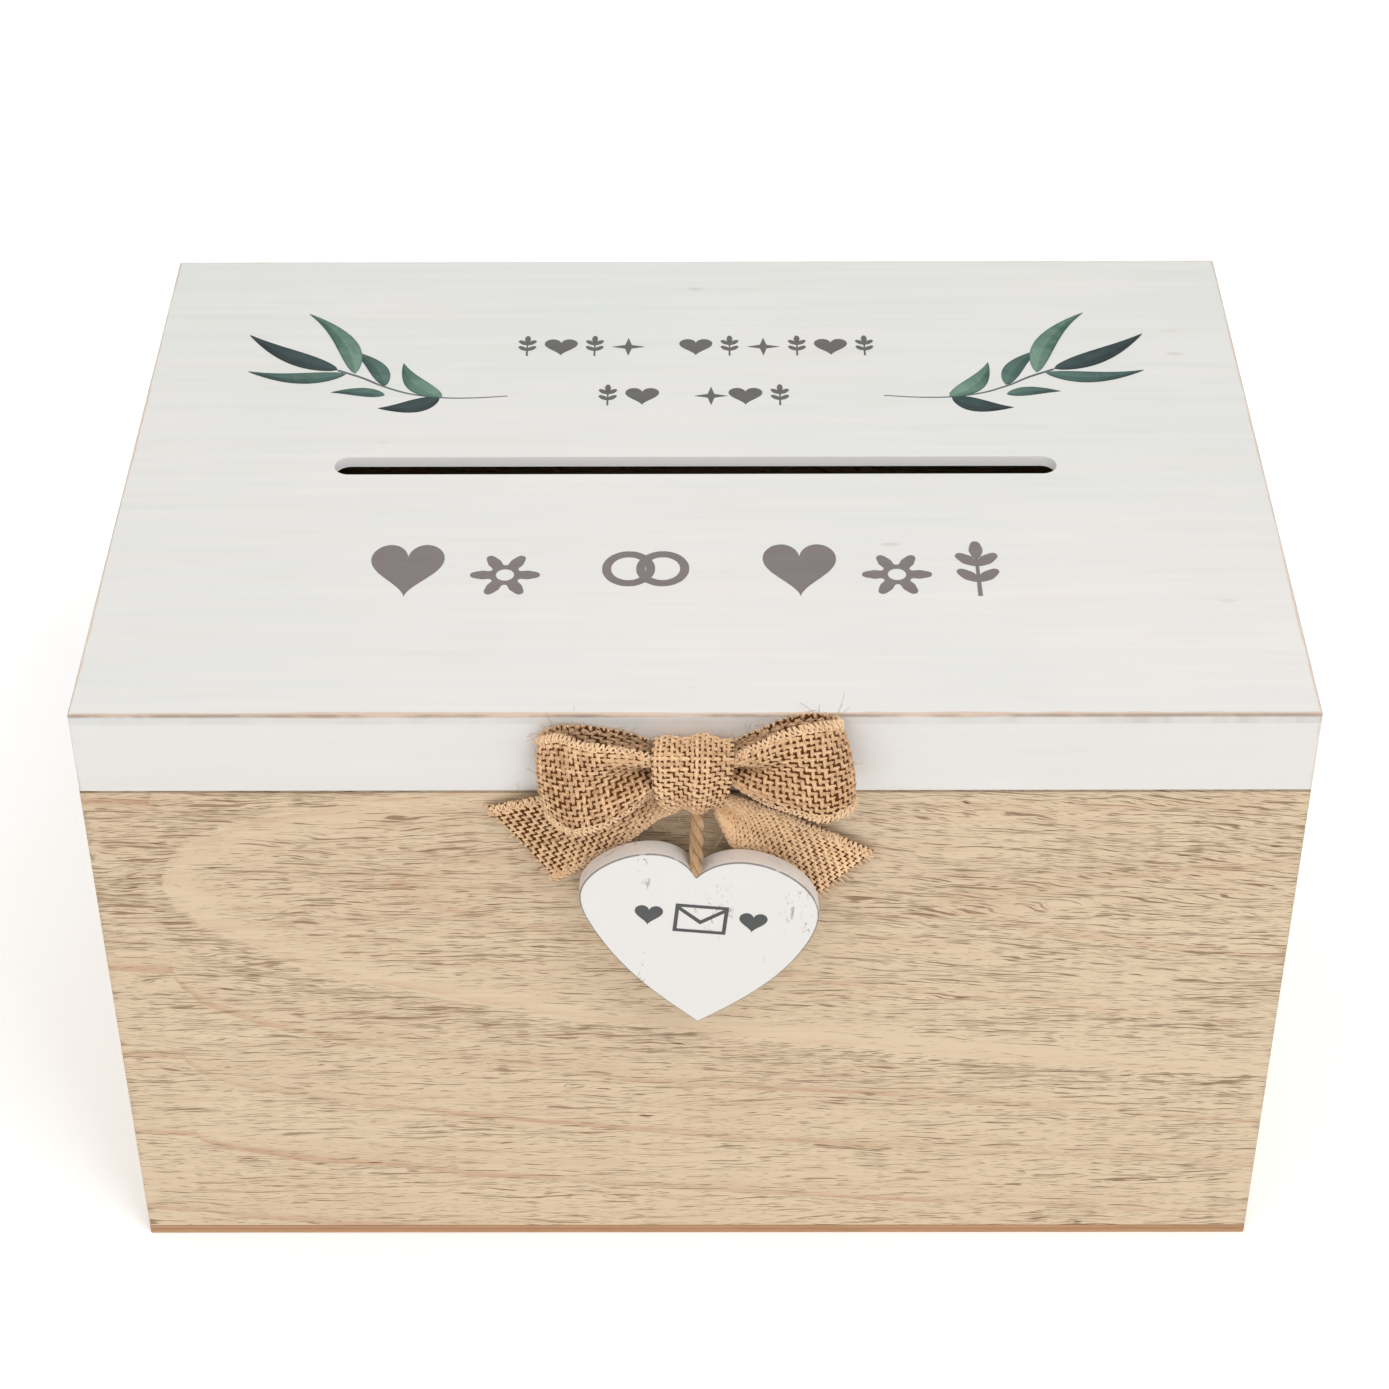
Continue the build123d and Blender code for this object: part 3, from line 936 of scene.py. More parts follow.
# ---- bow ------------------------------------------------------------------------------------
@dataclass
class Ribbon:
    """A stretch of hessian ribbon between two edge lines, gathered into pleats.

    Attributes:
        name: The stretch's name.
        first_edge: Points of one edge as (across, forward of the box's front, height), in millimetres.
        second_edge: Points of the other edge, one for each of the first's.
        length: Length of the flat ribbon, in millimetres.
        pleats: Depth of the pleats at each point, in millimetres.
        folds: Number of half waves across the ribbon.
        node: The CAD piece that the stretch stands for.
        seed: Seed of the yarns' unevenness.
        fray: How far loose warp yarns stand out of the start and the end, in millimetres.
        turned: Whether the outside of the cloth is the other side.
        bulge: How far the middle of the ribbon stands out at each point, in millimetres.
        sunned: How much paler its yarns are than the bow's darkest.
        hemmed: Whether the looped edge yarns show.
        width: Width of the flat ribbon, in millimetres.
        pitch: Distance between two yarns, in millimetres.
        selvedge: Width of the looped edge, in millimetres.
        rise: How far a yarn stands out where it passes over another, in millimetres.
        wobble: How far the yarns stray sideways, in millimetres.
        warp_half, weft_half: Half the width of the yarns along and across the ribbon, in millimetres.
        yarn_depth: Half the thickness of the yarns, in millimetres.
        cloth_half: Half the thickness of the sheet under the weave, whose dark colour is painted shade, in
            millimetres.
    """

    name: str
    first_edge: list[tuple[float, float, float]]
    second_edge: list[tuple[float, float, float]]
    length: float
    pleats: list[float]
    folds: float
    node: str
    seed: int
    fray: tuple[float, float] = (0.0, 0.0)
    turned: bool = False
    bulge: tuple[float, ...] = (0.0, 0.0)
    sunned: float = 0.1
    hemmed: bool = True
    width: float = 26.0
    pitch: float = 1.5
    selvedge: float = 2.4
    rise: float = 0.27
    wobble: float = 0.10
    warp_half: float = 0.44
    weft_half: float = 0.46
    yarn_depth: float = 0.29
    cloth_half: float = 0.05

    def surface(self, rows: int, columns: int) -> tuple[np.ndarray, np.ndarray]:
        """Read the ribbon's middle surface.

        Args:
            rows: Points along the ribbon.
            columns: Points across the ribbon.

        Returns:
            Places and outward directions, each rows by columns by 3, in metres.
        """
        edges = []
        for edge in (self.first_edge, self.second_edge):
            line = curve_through(np.array(edge, float), rows)
            edges.append(np.stack([line[:, 0] * MM, FRONT - line[:, 1] * MM, line[:, 2] * MM], 1))
        across = np.linspace(0, 1, columns)[None, :, None]
        flat = edges[0][:, None, :] * (1 - across) + edges[1][:, None, :] * across
        depth = curve_through(np.array(self.pleats, float)[:, None], rows)[:, 0] * MM
        share = across[:, :, 0]
        wave = np.sin(math.pi * self.folds * share) * np.sin(math.pi * share).clip(0) ** 0.25
        stops = np.linspace(0, 1, len(self.bulge))
        swell = np.interp(np.linspace(0, 1, rows), stops, self.bulge)[:, None] * MM * np.sin(math.pi * share)
        normal = self._normals(flat)
        place = flat + normal * (depth[:, None] * wave + swell)[:, :, None]
        return place, self._normals(place)

    def _normals(self, grid: np.ndarray) -> np.ndarray:
        """Outward directions of a grid of points."""
        along = np.gradient(grid, axis=0)
        across = np.gradient(grid, axis=1)
        normal = unit(np.cross(along, across))
        return -normal if self.turned else normal

    def shade_sheet(self, material: Material) -> Piece:
        """Make the thin sheet that closes the gaps of the weave. It is dark to stand in for the painted shade
        between the yarns.
        """
        rows = max(8, round(self.length / 1.5))
        columns = 18
        place, normal = self.surface(rows, columns)
        half = normal * (self.cloth_half * MM)
        points = np.vstack([(place + half).reshape(-1, 3), (place - half).reshape(-1, 3)])
        under = rows * columns
        faces = []
        for row in range(rows - 1):
            for column in range(columns - 1):
                a = row * columns + column
                quad = [a, a + columns, a + columns + 1, a + 1]
                faces.append(quad)
                faces.append([under + corner for corner in quad[::-1]])
        last_row = (rows - 1) * columns
        rim = list(range(columns)) + [row * columns + columns - 1 for row in range(1, rows)]
        rim += [last_row + column for column in range(columns - 2, -1, -1)]
        rim += [row * columns for row in range(rows - 2, 0, -1)]
        faces.extend([a, b, under + b, under + a] for a, b in zip(rim, rim[1:] + rim[:1]))
        if self.turned:
            faces = [face[::-1] for face in faces]
        piece = mesh_piece(self.name + "_cloth", points, faces)
        ride(piece, Body.LID, material)
        return piece

    def weave(self, material: Material) -> Piece:
        """Make the warp and weft yarns, over and under each other."""
        rng = np.random.default_rng(self.seed)
        per = 3
        wefts = max(4, round(self.length / self.pitch))
        band = self.selvedge if self.hemmed else 0.5
        warps = round((self.width - 2 * band) / self.pitch)
        rows = wefts * per + 1
        margin = round(band / self.pitch * per)
        columns = warps * per + 2 * margin + 1
        place, normal = self.surface(rows, columns)
        strands = Strands(6)
        sideways = unit(np.gradient(place, axis=1))
        forward = unit(np.gradient(place, axis=0))
        warp_phase = np.arange(rows) / per
        weft_phase = (np.arange(columns) - margin) / per
        for warp in range(warps):
            at = (slice(None), margin + warp * per + per // 2)
            lift = self.rise * np.cos(math.pi * (warp_phase + warp))
            self._yarn(strands, rng, place[at], normal[at], sideways[at], lift, self.warp_half)
        for weft in range(wefts):
            at = weft * per + per // 2
            lift = -self.rise * np.cos(math.pi * (weft_phase + weft))
            self._yarn(strands, rng, place[at], normal[at], forward[at], lift, self.weft_half)
        return self._finished(strands, "_weave", material)

    def _yarn(self, strands: Strands, rng: np.random.Generator, line: np.ndarray, normal: np.ndarray,
              sideways: np.ndarray, lift: np.ndarray, half: float) -> None:
        """Add one yarn of the weave.

        Args:
            strands: The bundle that it goes into.
            rng: Draws its unevenness.
            line: Its line in the cloth's middle surface.
            normal: The cloth's outward direction along it.
            sideways: The direction along the cloth, across the yarn.
            lift: How far it stands out of the middle surface, in millimetres.
            half: Half its width, in millimetres.
        """
        count = len(line)
        wobble = eased(count, 9, lambda size: rng.normal(0, self.wobble * MM, size))
        thick = eased(count, 6, lambda size: rng.uniform(0.75, 1.25, size)) * MM
        tone = self.sunned + rng.uniform(0.3, 1.0)
        line = line + normal * (lift * MM)[:, None] + sideways * wobble[:, None]
        strands.add(line, half * thick, self.yarn_depth * thick, tone, normal)

    def _finished(self, strands: Strands, ending: str, material: Material) -> Piece:
        """Make a bundle's piece, which rides on the lid as hessian."""
        piece = strands.piece(self.name + ending)
        ride(piece, Body.LID, material)
        return piece

    def selvedges(self, material: Material) -> Piece:
        """Make the looped yarns along both edges."""
        rng = np.random.default_rng(self.seed + 50)
        loops = max(4, round(self.length / 2.5))
        per = 10
        rows = loops * per + 1
        columns = 81
        row = np.arange(rows)
        place, normal = self.surface(rows, columns)
        strands = Strands(6)
        for side in (0, 1):
            heading = unit(np.gradient(place[:, -side], axis=0))
            for shift in (0.0, 0.5):
                turn = 2 * math.pi * (row / per + shift)
                jitter = eased(rows, 5, lambda size: rng.uniform(0.7, 1.2, size))
                inward = 0.5 * (1 - np.sin(turn) * jitter * 0.95)
                share = self.selvedge / self.width * inward
                share = np.clip(1 - share if side else share, 0, 1) * (columns - 1)
                low = np.minimum(share.astype(int), columns - 2)
                part = (share - low)[:, None]
                line = place[row, low] * (1 - part) + place[row, low + 1] * part
                lift = (0.20 + 0.28 * np.cos(turn * 2 + math.pi * shift)) * MM
                slant = (0.35 * np.cos(turn) + 1.3 * inward) * MM
                line = line + normal[row, low] * lift[:, None] + heading * slant[:, None]
                strands.add(line, 0.30 * MM, 0.24 * MM, rng.uniform(1.0, 1.3), normal[row, low])
        return self._finished(strands, "_selvedge", material)

    def fibres(self, material: Material, count: int) -> Piece:
        """Make stray fibres that stand out of the cloth, and the frayed yarns of a cut end."""
        rng = np.random.default_rng(self.seed + 90)
        rows = max(20, round(self.length))
        columns = 40
        place, normal = self.surface(rows, columns)
        strands = Strands(4)
        for _ in range(count):
            row = rng.integers(1, rows - 1)
            column = rng.choice([rng.integers(0, columns), 0, columns - 1])
            heading = unit(rng.normal(0, 1, 3) + normal[row, column] * 0.8)
            reach = rng.uniform(1.2, 4.0) * MM
            line = sprout(place[row, column], heading * reach, rng.normal(0, 0.5, 3) * reach)
            width, depth = rng.uniform(0.035, 0.07) * MM, rng.uniform(0.035, 0.07) * MM
            strands.add(line, width, depth, rng.uniform(0.6, 1.2))
        thick = np.linspace(0.38, 0.16, SPROUT_POINTS) * MM
        for end, fray in zip((0, -1), self.fray):
            if fray <= 0:
                continue
            outward = unit(place[end] - place[1 if end == 0 else -2])
            for column in np.linspace(0, columns - 1, 19).astype(int):
                reach = fray * rng.uniform(0.35, 1.15) * MM
                line = sprout(place[end, column], outward[column] * reach, rng.normal(0, 0.30, 3) * reach)
                up = np.tile(normal[end, column], (SPROUT_POINTS, 1))
                strands.add(line, thick, thick * 0.7, rng.uniform(0.5, 1.1), up)
        return self._finished(strands, "_fibres", material)

    def build(self, yarn: Material, pale: Material, shade_sheet: Material) -> None:
        """Build the stretch's pieces and hide the CAD piece that it stands for."""
        cloth = self.shade_sheet(shade_sheet)
        extras = [self.weave(yarn), self.fibres(pale, round(self.length * 2.2))]
        if self.hemmed:
            extras.append(self.selvedges(pale))
        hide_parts(self.node)


@dataclass
class Bow:
    """The hessian bow: two loops, two ends and the wrapped knot."""

    def stretches(self) -> list[Ribbon]:
        """List the ribbon's stretches, from the back of the bow to the front."""
        left_tail = Ribbon(
            "bow_end_left",
            [(-5, 4.5, 166), (-14, 3.8, 165.5), (-26, 2.8, 162.5), (-38, 2.0, 158.8), (-50.5, 1.4, 155)],
            [(-3.5, 5, 157), (-9, 4.0, 153), (-17, 2.8, 144), (-25, 2.0, 137), (-34, 1.7, 131)],
            43, [1.6, 1.2, 0.6, 0.3, 0.2], 3, "bow_tail_left", 11, fray=(0, 2.6), sunned=0.5, pitch=1.34)
        right_tail = Ribbon(
            "bow_end_right",
            [(4, 4.5, 163), (12, 3.8, 159.5), (22, 3.0, 154), (33, 2.2, 147.5), (44, 1.5, 140.6)],
            [(4.5, 4.6, 157), (6.5, 3.6, 150), (10, 2.6, 141), (17, 1.8, 131), (26.5, 1.2, 121.5)],
            43, [1.6, 1.2, 0.6, 0.3, 0.2], 3, "bow_tail_right", 12, fray=(0, 3.2), turned=True,
            sunned=0.9, pitch=1.12)
        left_loop = Ribbon(
            "bow_loop_left",
            [(-8.5, 5.8, 174.7), (-18.5, 6.2, 177.8), (-26.3, 5.5, 178.6), (-32.5, 3.6, 179.8),
             (-36.8, 2.4, 178.0), (-34.5, 1.2, 179.4), (-28, 0.9, 179.9), (-18, 1.0, 178.2),
             (-8, 1.6, 174.8)],
            [(-8.6, 6.0, 166.5), (-14.6, 9.8, 161.4), (-22.5, 12.6, 157.2), (-29.5, 12.9, 155.4),
             (-35.3, 9.4, 158.4), (-33.0, 6.6, 160.0), (-26, 4.8, 161), (-17, 4.2, 163), (-8, 3.4, 167)],
            63, [3.0, 2.2, 1.1, 0.3, 0.1, 0.1, 0.6, 1.0, 1.2], 3, "bow_loop_left", 13,
            bulge=(0, 0.5, 1.2, 1.6, 1.8, 1.0, 0, 0, 0))
        right_loop = Ribbon(
            "bow_loop_right",
            [(7.5, 6.0, 173.8), (14.0, 6.6, 178.6), (21.5, 6.6, 183.2), (29.5, 5.2, 184.4),
             (33.8, 2.9, 183.2), (32.0, 1.5, 183.7), (24, 1.1, 182.9), (15, 1.2, 178.6), (7.5, 1.8, 174.4)],
            [(7.6, 6.0, 168.3), (16.2, 10.5, 164.2), (24.5, 13.6, 162.4), (31.5, 14.2, 160.6),
             (38.0, 10.4, 161.3), (36.0, 7.0, 162.5), (28, 5.2, 163.5), (18, 4.6, 165), (7.5, 3.5, 168.2)],
            65, [3.0, 2.4, 1.3, 0.4, 0.1, 0.1, 0.6, 1.0, 1.2], 3, "bow_loop_right", 14, turned=True,
            bulge=(0, 0.5, 1.2, 1.7, 1.9, 1.0, 0, 0, 0))
        knot = Ribbon(
            "bow_knot_wrap",
            [(-9.4, 0.9, 175.4), (-9.8, 4.5, 177.5), (-10.2, 8.8, 175.4), (-10.1, 10.2, 169.8),
             (-9.2, 9.6, 163.8), (-7.0, 6.2, 159.6), (-5.8, 1.2, 160.4)],
            [(9.2, 0.9, 175.4), (9.4, 4.5, 177.6), (9.4, 8.8, 175.6), (8.8, 10.4, 169.8),
             (7.4, 9.8, 163.2), (5.6, 6.2, 158.8), (4.8, 1.2, 159.6)],
            36.5, [0.5, 0.6, 0.7, 0.7, 0.7, 0.6, 0.5], 4, "bow_knot", 15, hemmed=False, sunned=0.4,
            width=20.0, pitch=1.28, bulge=(0.8, 0.9, 1.0, 1.0, 1.0, 1.0, 0.6))
        return [left_tail, right_tail, left_loop, right_loop, knot]

    def build(self) -> None:
        """Build every stretch."""
        yarn = Yarn("hessian_yarn").build()
        pale = Yarn("hessian_selvedge_yarn", light=srgb(252, 216, 174), deep=srgb(196, 146, 100)).build()
        # Painted shade: the dark sheet behind the weave stands for the shade in its gaps.
        shade_sheet = GapShade().build()
        for stretch in self.stretches():
            stretch.build(yarn, pale, shade_sheet)


@dataclass
class Twine:
    """The three-strand jute twine that carries the heart."""

    diameter: float = 0.0034
    length: float = 0.0322
    lay: float = 0.0135
    strands: int = 3
    hairs: int = 120
    hair_half: float = 0.045 * MM

    def route(self) -> list[Vector]:
        """Points of the twine's line, from inside the knot to the heart's notch."""
        start = (TWINE_LOW + TWINE_HIGH) / 2
        start.z = TWINE_HIGH.z - 0.4 * MM
        drops = [(0.0, 0.0, 0.0), (0.2, 0.0, 4.0), (0.5, 0.0, 9.5), (0.3, 0.1, 15.0), (0.0, 0.4, 20.5),
                 (-0.1, 1.0, 26.0), (0.0, 2.1, 32.2)]
        return [start + Vector((side, -ahead, -drop)) * MM for side, ahead, drop in drops]

    def line(self) -> np.ndarray:
        """Read the smooth line that the route's points control."""
        curve = bpy.data.curves.new("twine_route", "CURVE")
        curve.dimensions = "3D"
        curve.resolution_u = 12
        spline = curve.splines.new("NURBS")
        points = self.route()
        spline.points.add(len(points) - 1)
        for point, place in zip(spline.points, points):
            point.co = (*place, 1.0)
        spline.order_u = 3
        spline.use_endpoint_u = True
        holder = bpy.data.objects.new("twine_route", curve)
        bpy.context.scene.collection.objects.link(holder)
        mesh = bpy.data.meshes.new_from_object(holder)
        line = np.array([tuple(vertex.co) for vertex in mesh.vertices])
        bpy.data.objects.remove(holder)
        bpy.data.meshes.remove(mesh)
        return line

    def build(self) -> None:
        finer = self.line()
        run = travelled(finer)
        bundle = Strands(10)
        tight = np.interp(run, [0, run[-1] - 2.5 * MM, run[-1]], [1, 1, 0.45])
        offset = 0.25 * self.diameter * tight[:, None]
        thick = 0.27 * self.diameter * (0.4 + 0.6 * tight)
        for strand in range(self.strands):
            turn = 2 * math.pi * (run / self.lay + strand / self.strands)
            ring = np.stack([np.cos(turn), np.sin(turn), np.zeros_like(turn)], 1)
            bundle.add(finer + ring * offset, thick, thick, 0.45 + 0.2 * strand, ring)
        piece = bundle.piece("heart_twine_strands")
        hairs = self._hairs(finer)
        yarn = Yarn("twine_yarn", light=srgb(214, 174, 128), deep=srgb(138, 98, 62), turns=9.0).build()
        for part in (piece, hairs):
            ride(part, Body.TWINE, yarn)
        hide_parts("heart_twine")

    def _hairs(self, line: np.ndarray) -> Piece:
        """Make the loose hairs of the twine."""
        rng = np.random.default_rng(31)
        bundle = Strands(4)
        for _ in range(self.hairs):
            start = line[rng.integers(30, len(line) - 4)]
            angle = rng.uniform(0, 2 * math.pi)
            heading = unit(np.array([math.cos(angle), math.sin(angle), rng.normal(0, 0.8)]))
            reach = rng.uniform(1.9, 4.2) * MM
            hair = sprout(start, heading * reach, rng.normal(0, 0.4, 3) * reach)
            bundle.add(hair, self.hair_half, self.hair_half, rng.uniform(0.5, 1.1))
        return bundle.piece("heart_twine_hairs")


# ---- printed ornaments ----------------------------------------------------------------------
class Motif(Enum):
    """Small printed ornaments."""

    HEART = "heart"
    RINGS = "rings"
    BLOSSOM = "blossom"
    SPRIG = "sprig"
    DIAMOND = "diamond"


@dataclass
class Stencil:
    """Cuts flat ornaments out of curves and lays them on a face as thin ink.

    Attributes:
        thickness: How far the ink stands on the paint.
        coat: How much higher each overlapping coat stands.
        weld: Corners that are nearer than this become one.
    """

    thickness: float = 0.06 * MM
    coat: float = 0.02 * MM
    weld: float = 0.000002

    def outline(self, points: list[tuple[float, float]], holes: list[list[tuple[float, float]]] = (),
                smooth: bool = True) -> Piece:
        """Fill an outline, with its holes, as a flat mesh around the origin.

        Args:
            points: The outline's points, in metres.
            holes: Outlines of the holes.
            smooth: Whether the outlines are smooth curves.

        Returns:
            The flat mesh object, facing +Z.
        """
        curve = bpy.data.curves.new("ink", "CURVE")
        curve.dimensions = "2D"
        curve.fill_mode = "BOTH"
        curve.resolution_u = 8
        for ring in (points, *holes):
            spline = curve.splines.new("BEZIER")
            spline.bezier_points.add(len(ring) - 1)
            for point, (x, y) in zip(spline.bezier_points, ring):
                point.co = (x, y, 0)
                point.handle_left_type = point.handle_right_type = "AUTO" if smooth else "VECTOR"
            spline.use_cyclic_u = True
        piece = bpy.data.objects.new("ink", curve)
        bpy.context.scene.collection.objects.link(piece)
        pick(piece)
        bpy.ops.object.convert(target="MESH")
        return bpy.context.object

    def lift(self, piece: Piece, level: int = 0) -> None:
        """Give a flat ornament the ink's thickness, in edit mode; overlapping coats get different levels."""
        thickness = self.thickness + level * self.coat
        pick(piece)
        bpy.ops.object.mode_set(mode="EDIT")
        bpy.ops.mesh.select_all(action="SELECT")
        bpy.ops.mesh.remove_doubles(threshold=self.weld)
        bpy.ops.mesh.extrude_region_move(TRANSFORM_OT_translate={"value": (0, 0, thickness)})
        bpy.ops.mesh.select_all(action="SELECT")
        bpy.ops.mesh.normals_make_consistent(inside=False)
        bpy.ops.object.mode_set(mode="OBJECT")

    def heart(self, size: float) -> Piece:
        """A heart, by its well-known formula."""
        points = []
        for k in range(28):
            t = 2 * math.pi * (k + 0.5) / 28
            x = math.sin(t) ** 3
            y = (13 * math.cos(t) - 5 * math.cos(2 * t) - 2 * math.cos(3 * t) - math.cos(4 * t)) / 16
            points.append((x * size / 2, (y + 0.1) * size / 2))
        return self.outline(points)

    @staticmethod
    def circle(radius: float, x: float = 0, y: float = 0, points: int = 12) -> list[tuple[float, float]]:
        """Points of a circle."""
        turns = [2 * math.pi * k / points for k in range(points)]
        return [(x + radius * math.cos(t), y + radius * math.sin(t)) for t in turns]

    def rings(self, size: float) -> Piece:
        """Two linked rings."""
        radius = 0.31 * size
        inner = 0.66 * radius
        parts = [self.outline(self.circle(radius, side * 0.2 * size), [self.circle(inner, side * 0.2 * size)])
                 for side in (-1, 1)]
        return self.stack(parts)

    def stack(self, parts: list[Piece]) -> Piece:
        """Thicken overlapping parts to different levels and join them."""
        for level, part in enumerate(parts):
            self.lift(part, level)
        return join("ink", parts)

    def blossom(self, size: float, petals: int = 6) -> Piece:
        """A flower of round petals around an open middle."""
        points = []
        for k in range(petals * 4):
            t = 2 * math.pi * k / (petals * 4)
            radius = size / 2 * (0.72 + 0.28 * math.cos(petals * t))
            points.append((radius * math.cos(t), radius * math.sin(t)))
        return self.outline(points, [self.circle(0.13 * size)])

    def diamond(self, size: float) -> Piece:
        """A diamond with hollow sides."""
        tip, waist = size / 2, 0.1 * size
        return self.outline([(0, tip), (waist, waist), (tip, 0), (waist, -waist),
                             (0, -tip), (-waist, -waist), (-tip, 0), (-waist, waist)], smooth=False)

    def sprig(self, size: float) -> Piece:
        """An upright twig with two pairs of leaves."""
        foot, top = -size / 2, size / 2 * 0.7
        parts = [self.outline([(-0.03 * size, foot), (0.03 * size, foot), (0.02 * size, top),
                               (-0.02 * size, top)], smooth=False)]
        for height, side in ((-0.2, -1), (-0.2, 1), (0.12, -1), (0.12, 1)):
            parts.append(self._leaf(size * 0.34, (0, height * size), side * 0.85))
        parts.append(self._leaf(size * 0.34, (0, 0.26 * size), 0.0))
        return self.stack(parts)

    def _leaf(self, length: float, root: tuple[float, float], lean: float) -> Piece:
        """A pointed leaf from its root, leaning from upright by an angle in radians."""
        shape = [(0, 0), (0.22, 0.3), (0.24, 0.6), (0, 1), (-0.24, 0.6), (-0.22, 0.3)]
        turned = []
        for x, y in shape:
            turned.append((root[0] + length * (x * math.cos(lean) + y * math.sin(lean)),
                           root[1] + length * (y * math.cos(lean) - x * math.sin(lean))))
        return self.outline(turned)

    def cut(self, motif: Motif, size: float) -> Piece:
        """Cut one ornament.

        Args:
            motif: Which one.
            size: Its height or width, in metres.

        Returns:
            The thick ornament around the origin.
        """
        makers = {Motif.HEART: self.heart, Motif.RINGS: self.rings, Motif.BLOSSOM: self.blossom,
                  Motif.SPRIG: self.sprig, Motif.DIAMOND: self.diamond}
        piece = makers[motif](size)
        if motif in (Motif.HEART, Motif.BLOSSOM, Motif.DIAMOND):
            self.lift(piece)
        return piece


@dataclass
class LidPrint:
    """The grey ornaments printed on the lid, in three centred rows.

    Attributes:
        stencil: Cuts the ornaments.
        pitch: Distance between two small ornaments.
        size: Height of the small ornaments.
        title_size: Height of the large ornaments.
    """

    stencil: Stencil = field(default_factory=Stencil)
    pitch: float = 0.0094
    size: float = 0.0092
    title_size: float = 0.0245

    def row(self, name: str, motifs: list[Motif | None], middle: tuple[float, float],
            material: Material) -> None:
        """Lay a row of small ornaments, with None for a gap."""
        start = middle[0] - self.pitch * (len(motifs) - 1) / 2
        self.lay(name, [(motif, start + place * self.pitch, middle[1], self.size, 1.0)
                        for place, motif in enumerate(motifs) if motif], material)

    def lay(self, name: str, layout: list[tuple[Motif, float, float, float, float]],
            material: Material) -> None:
        """Lay ornaments on the lid as one piece.

        Args:
            name: The piece's name.
            layout: Each ornament with its place, size and narrowing.
            material: The ink.
        """
        parts = []
        for motif, x, y, size, narrow in layout:
            part = self.stencil.cut(motif, size)
            part.scale.x = narrow
            part.location = (x, y, LID_HIGH.z)
            parts.append(part)
        piece = join(name, parts)
        settle(piece)
        ride(piece, Body.LID, material)

    def build(self) -> None:
        """Print the three rows."""
        soft = Ink("grey_ink", srgb(112, 104, 103), srgb(134, 126, 124)).build()
        firm = Ink("dark_grey_ink", srgb(88, 87, 84), srgb(112, 110, 106)).build()
        heart, rings, blossom, sprig, diamond = Motif
        far = [sprig, heart, sprig, diamond, None, heart, sprig, diamond, sprig, heart, sprig]
        self.row("greeting_row_far", far, (0.0, 0.0585), firm)
        self.row("greeting_row_near", [sprig, heart, None, diamond, heart, sprig], (-0.0005, 0.0335), firm)
        big = self.title_size
        y = -0.0462
        layout = [(heart, -0.0730, y, big, 0.76), (blossom, -0.0480, y - 0.0026, 0.76 * big, 0.95),
                  (rings, -0.0125, y, 0.98 * big, 0.9), (heart, 0.0265, y, big, 0.76),
                  (blossom, 0.0510, y - 0.0026, 0.76 * big, 0.95),
                  (sprig, 0.0715, y - 0.0012, 0.86 * big, 0.95)]
        self.lay("title_row", layout, soft)


@dataclass
class HeartPrint:
    """The small envelope printed on the heart tag."""

    stencil: Stencil = field(default_factory=Stencil)
    lean: float = math.radians(-6.0)

    def build(self) -> None:
        """Print the envelope and the two hearts beside it."""
        ink = Ink("tag_ink", srgb(74, 76, 76), srgb(96, 98, 97)).build()
        half_width, half_height, line = 6.6 * MM, 4.6 * MM, 0.95 * MM
        outer = [(-half_width, -half_height), (half_width, -half_height), (half_width, half_height),
                 (-half_width, half_height)]
        inner = [(x - math.copysign(line, x), y - math.copysign(line, y)) for x, y in outer]
        parts = [self.stencil.outline(outer, [inner], smooth=False)]
        reach, upper, lower = half_width - 0.3 * MM, half_height - 0.3 * MM, half_height - 1.5 * MM
        flap = [(-reach, upper), (0, -0.4 * MM), (reach, upper), (reach, lower), (0, -1.7 * MM),
                (-reach, lower)]
        parts.append(self.stencil.outline(flap, smooth=False))
        for level, part in enumerate(parts):
            self.stencil.lift(part, level)
        for side in (-1, 1):
            small = self.stencil.cut(Motif.HEART, 7.0 * MM)
            small.location = (side * 13.0 * MM, 0.2 * MM, 0)
            parts.append(small)
        piece = join("heart_tag_print", parts)
        piece.rotation_euler = (math.pi / 2, 0, 0)
        settle(piece)
        piece.rotation_euler = (0, -self.lean, 0)
        middle = (HEART_LOW.x + HEART_HIGH.x) / 2
        piece.location = (middle + 0.3 * MM, HEART_LOW.y, HEART_LOW.z + 35.5 * MM)
        settle(piece)
        ride(piece, Body.HEART, ink)


class Wash(Enum):
    """Watercolour tones of the leaves."""

    DARK = "dark"
    MIDDLE = "middle"
    LIGHT = "light"


@dataclass(frozen=True)
class Leaf:
    """One printed leaf, in millimetres from the stem's inner end.

    Attributes:
        root: Where it leaves the stem.
        tip: Its point.
        width: Its width.
        curl: How far its middle bows to one side, as a share of its length.
        wash: Its tone.
    """

    root: tuple[float, float]
    tip: tuple[float, float]
    width: float
    curl: float
    wash: Wash


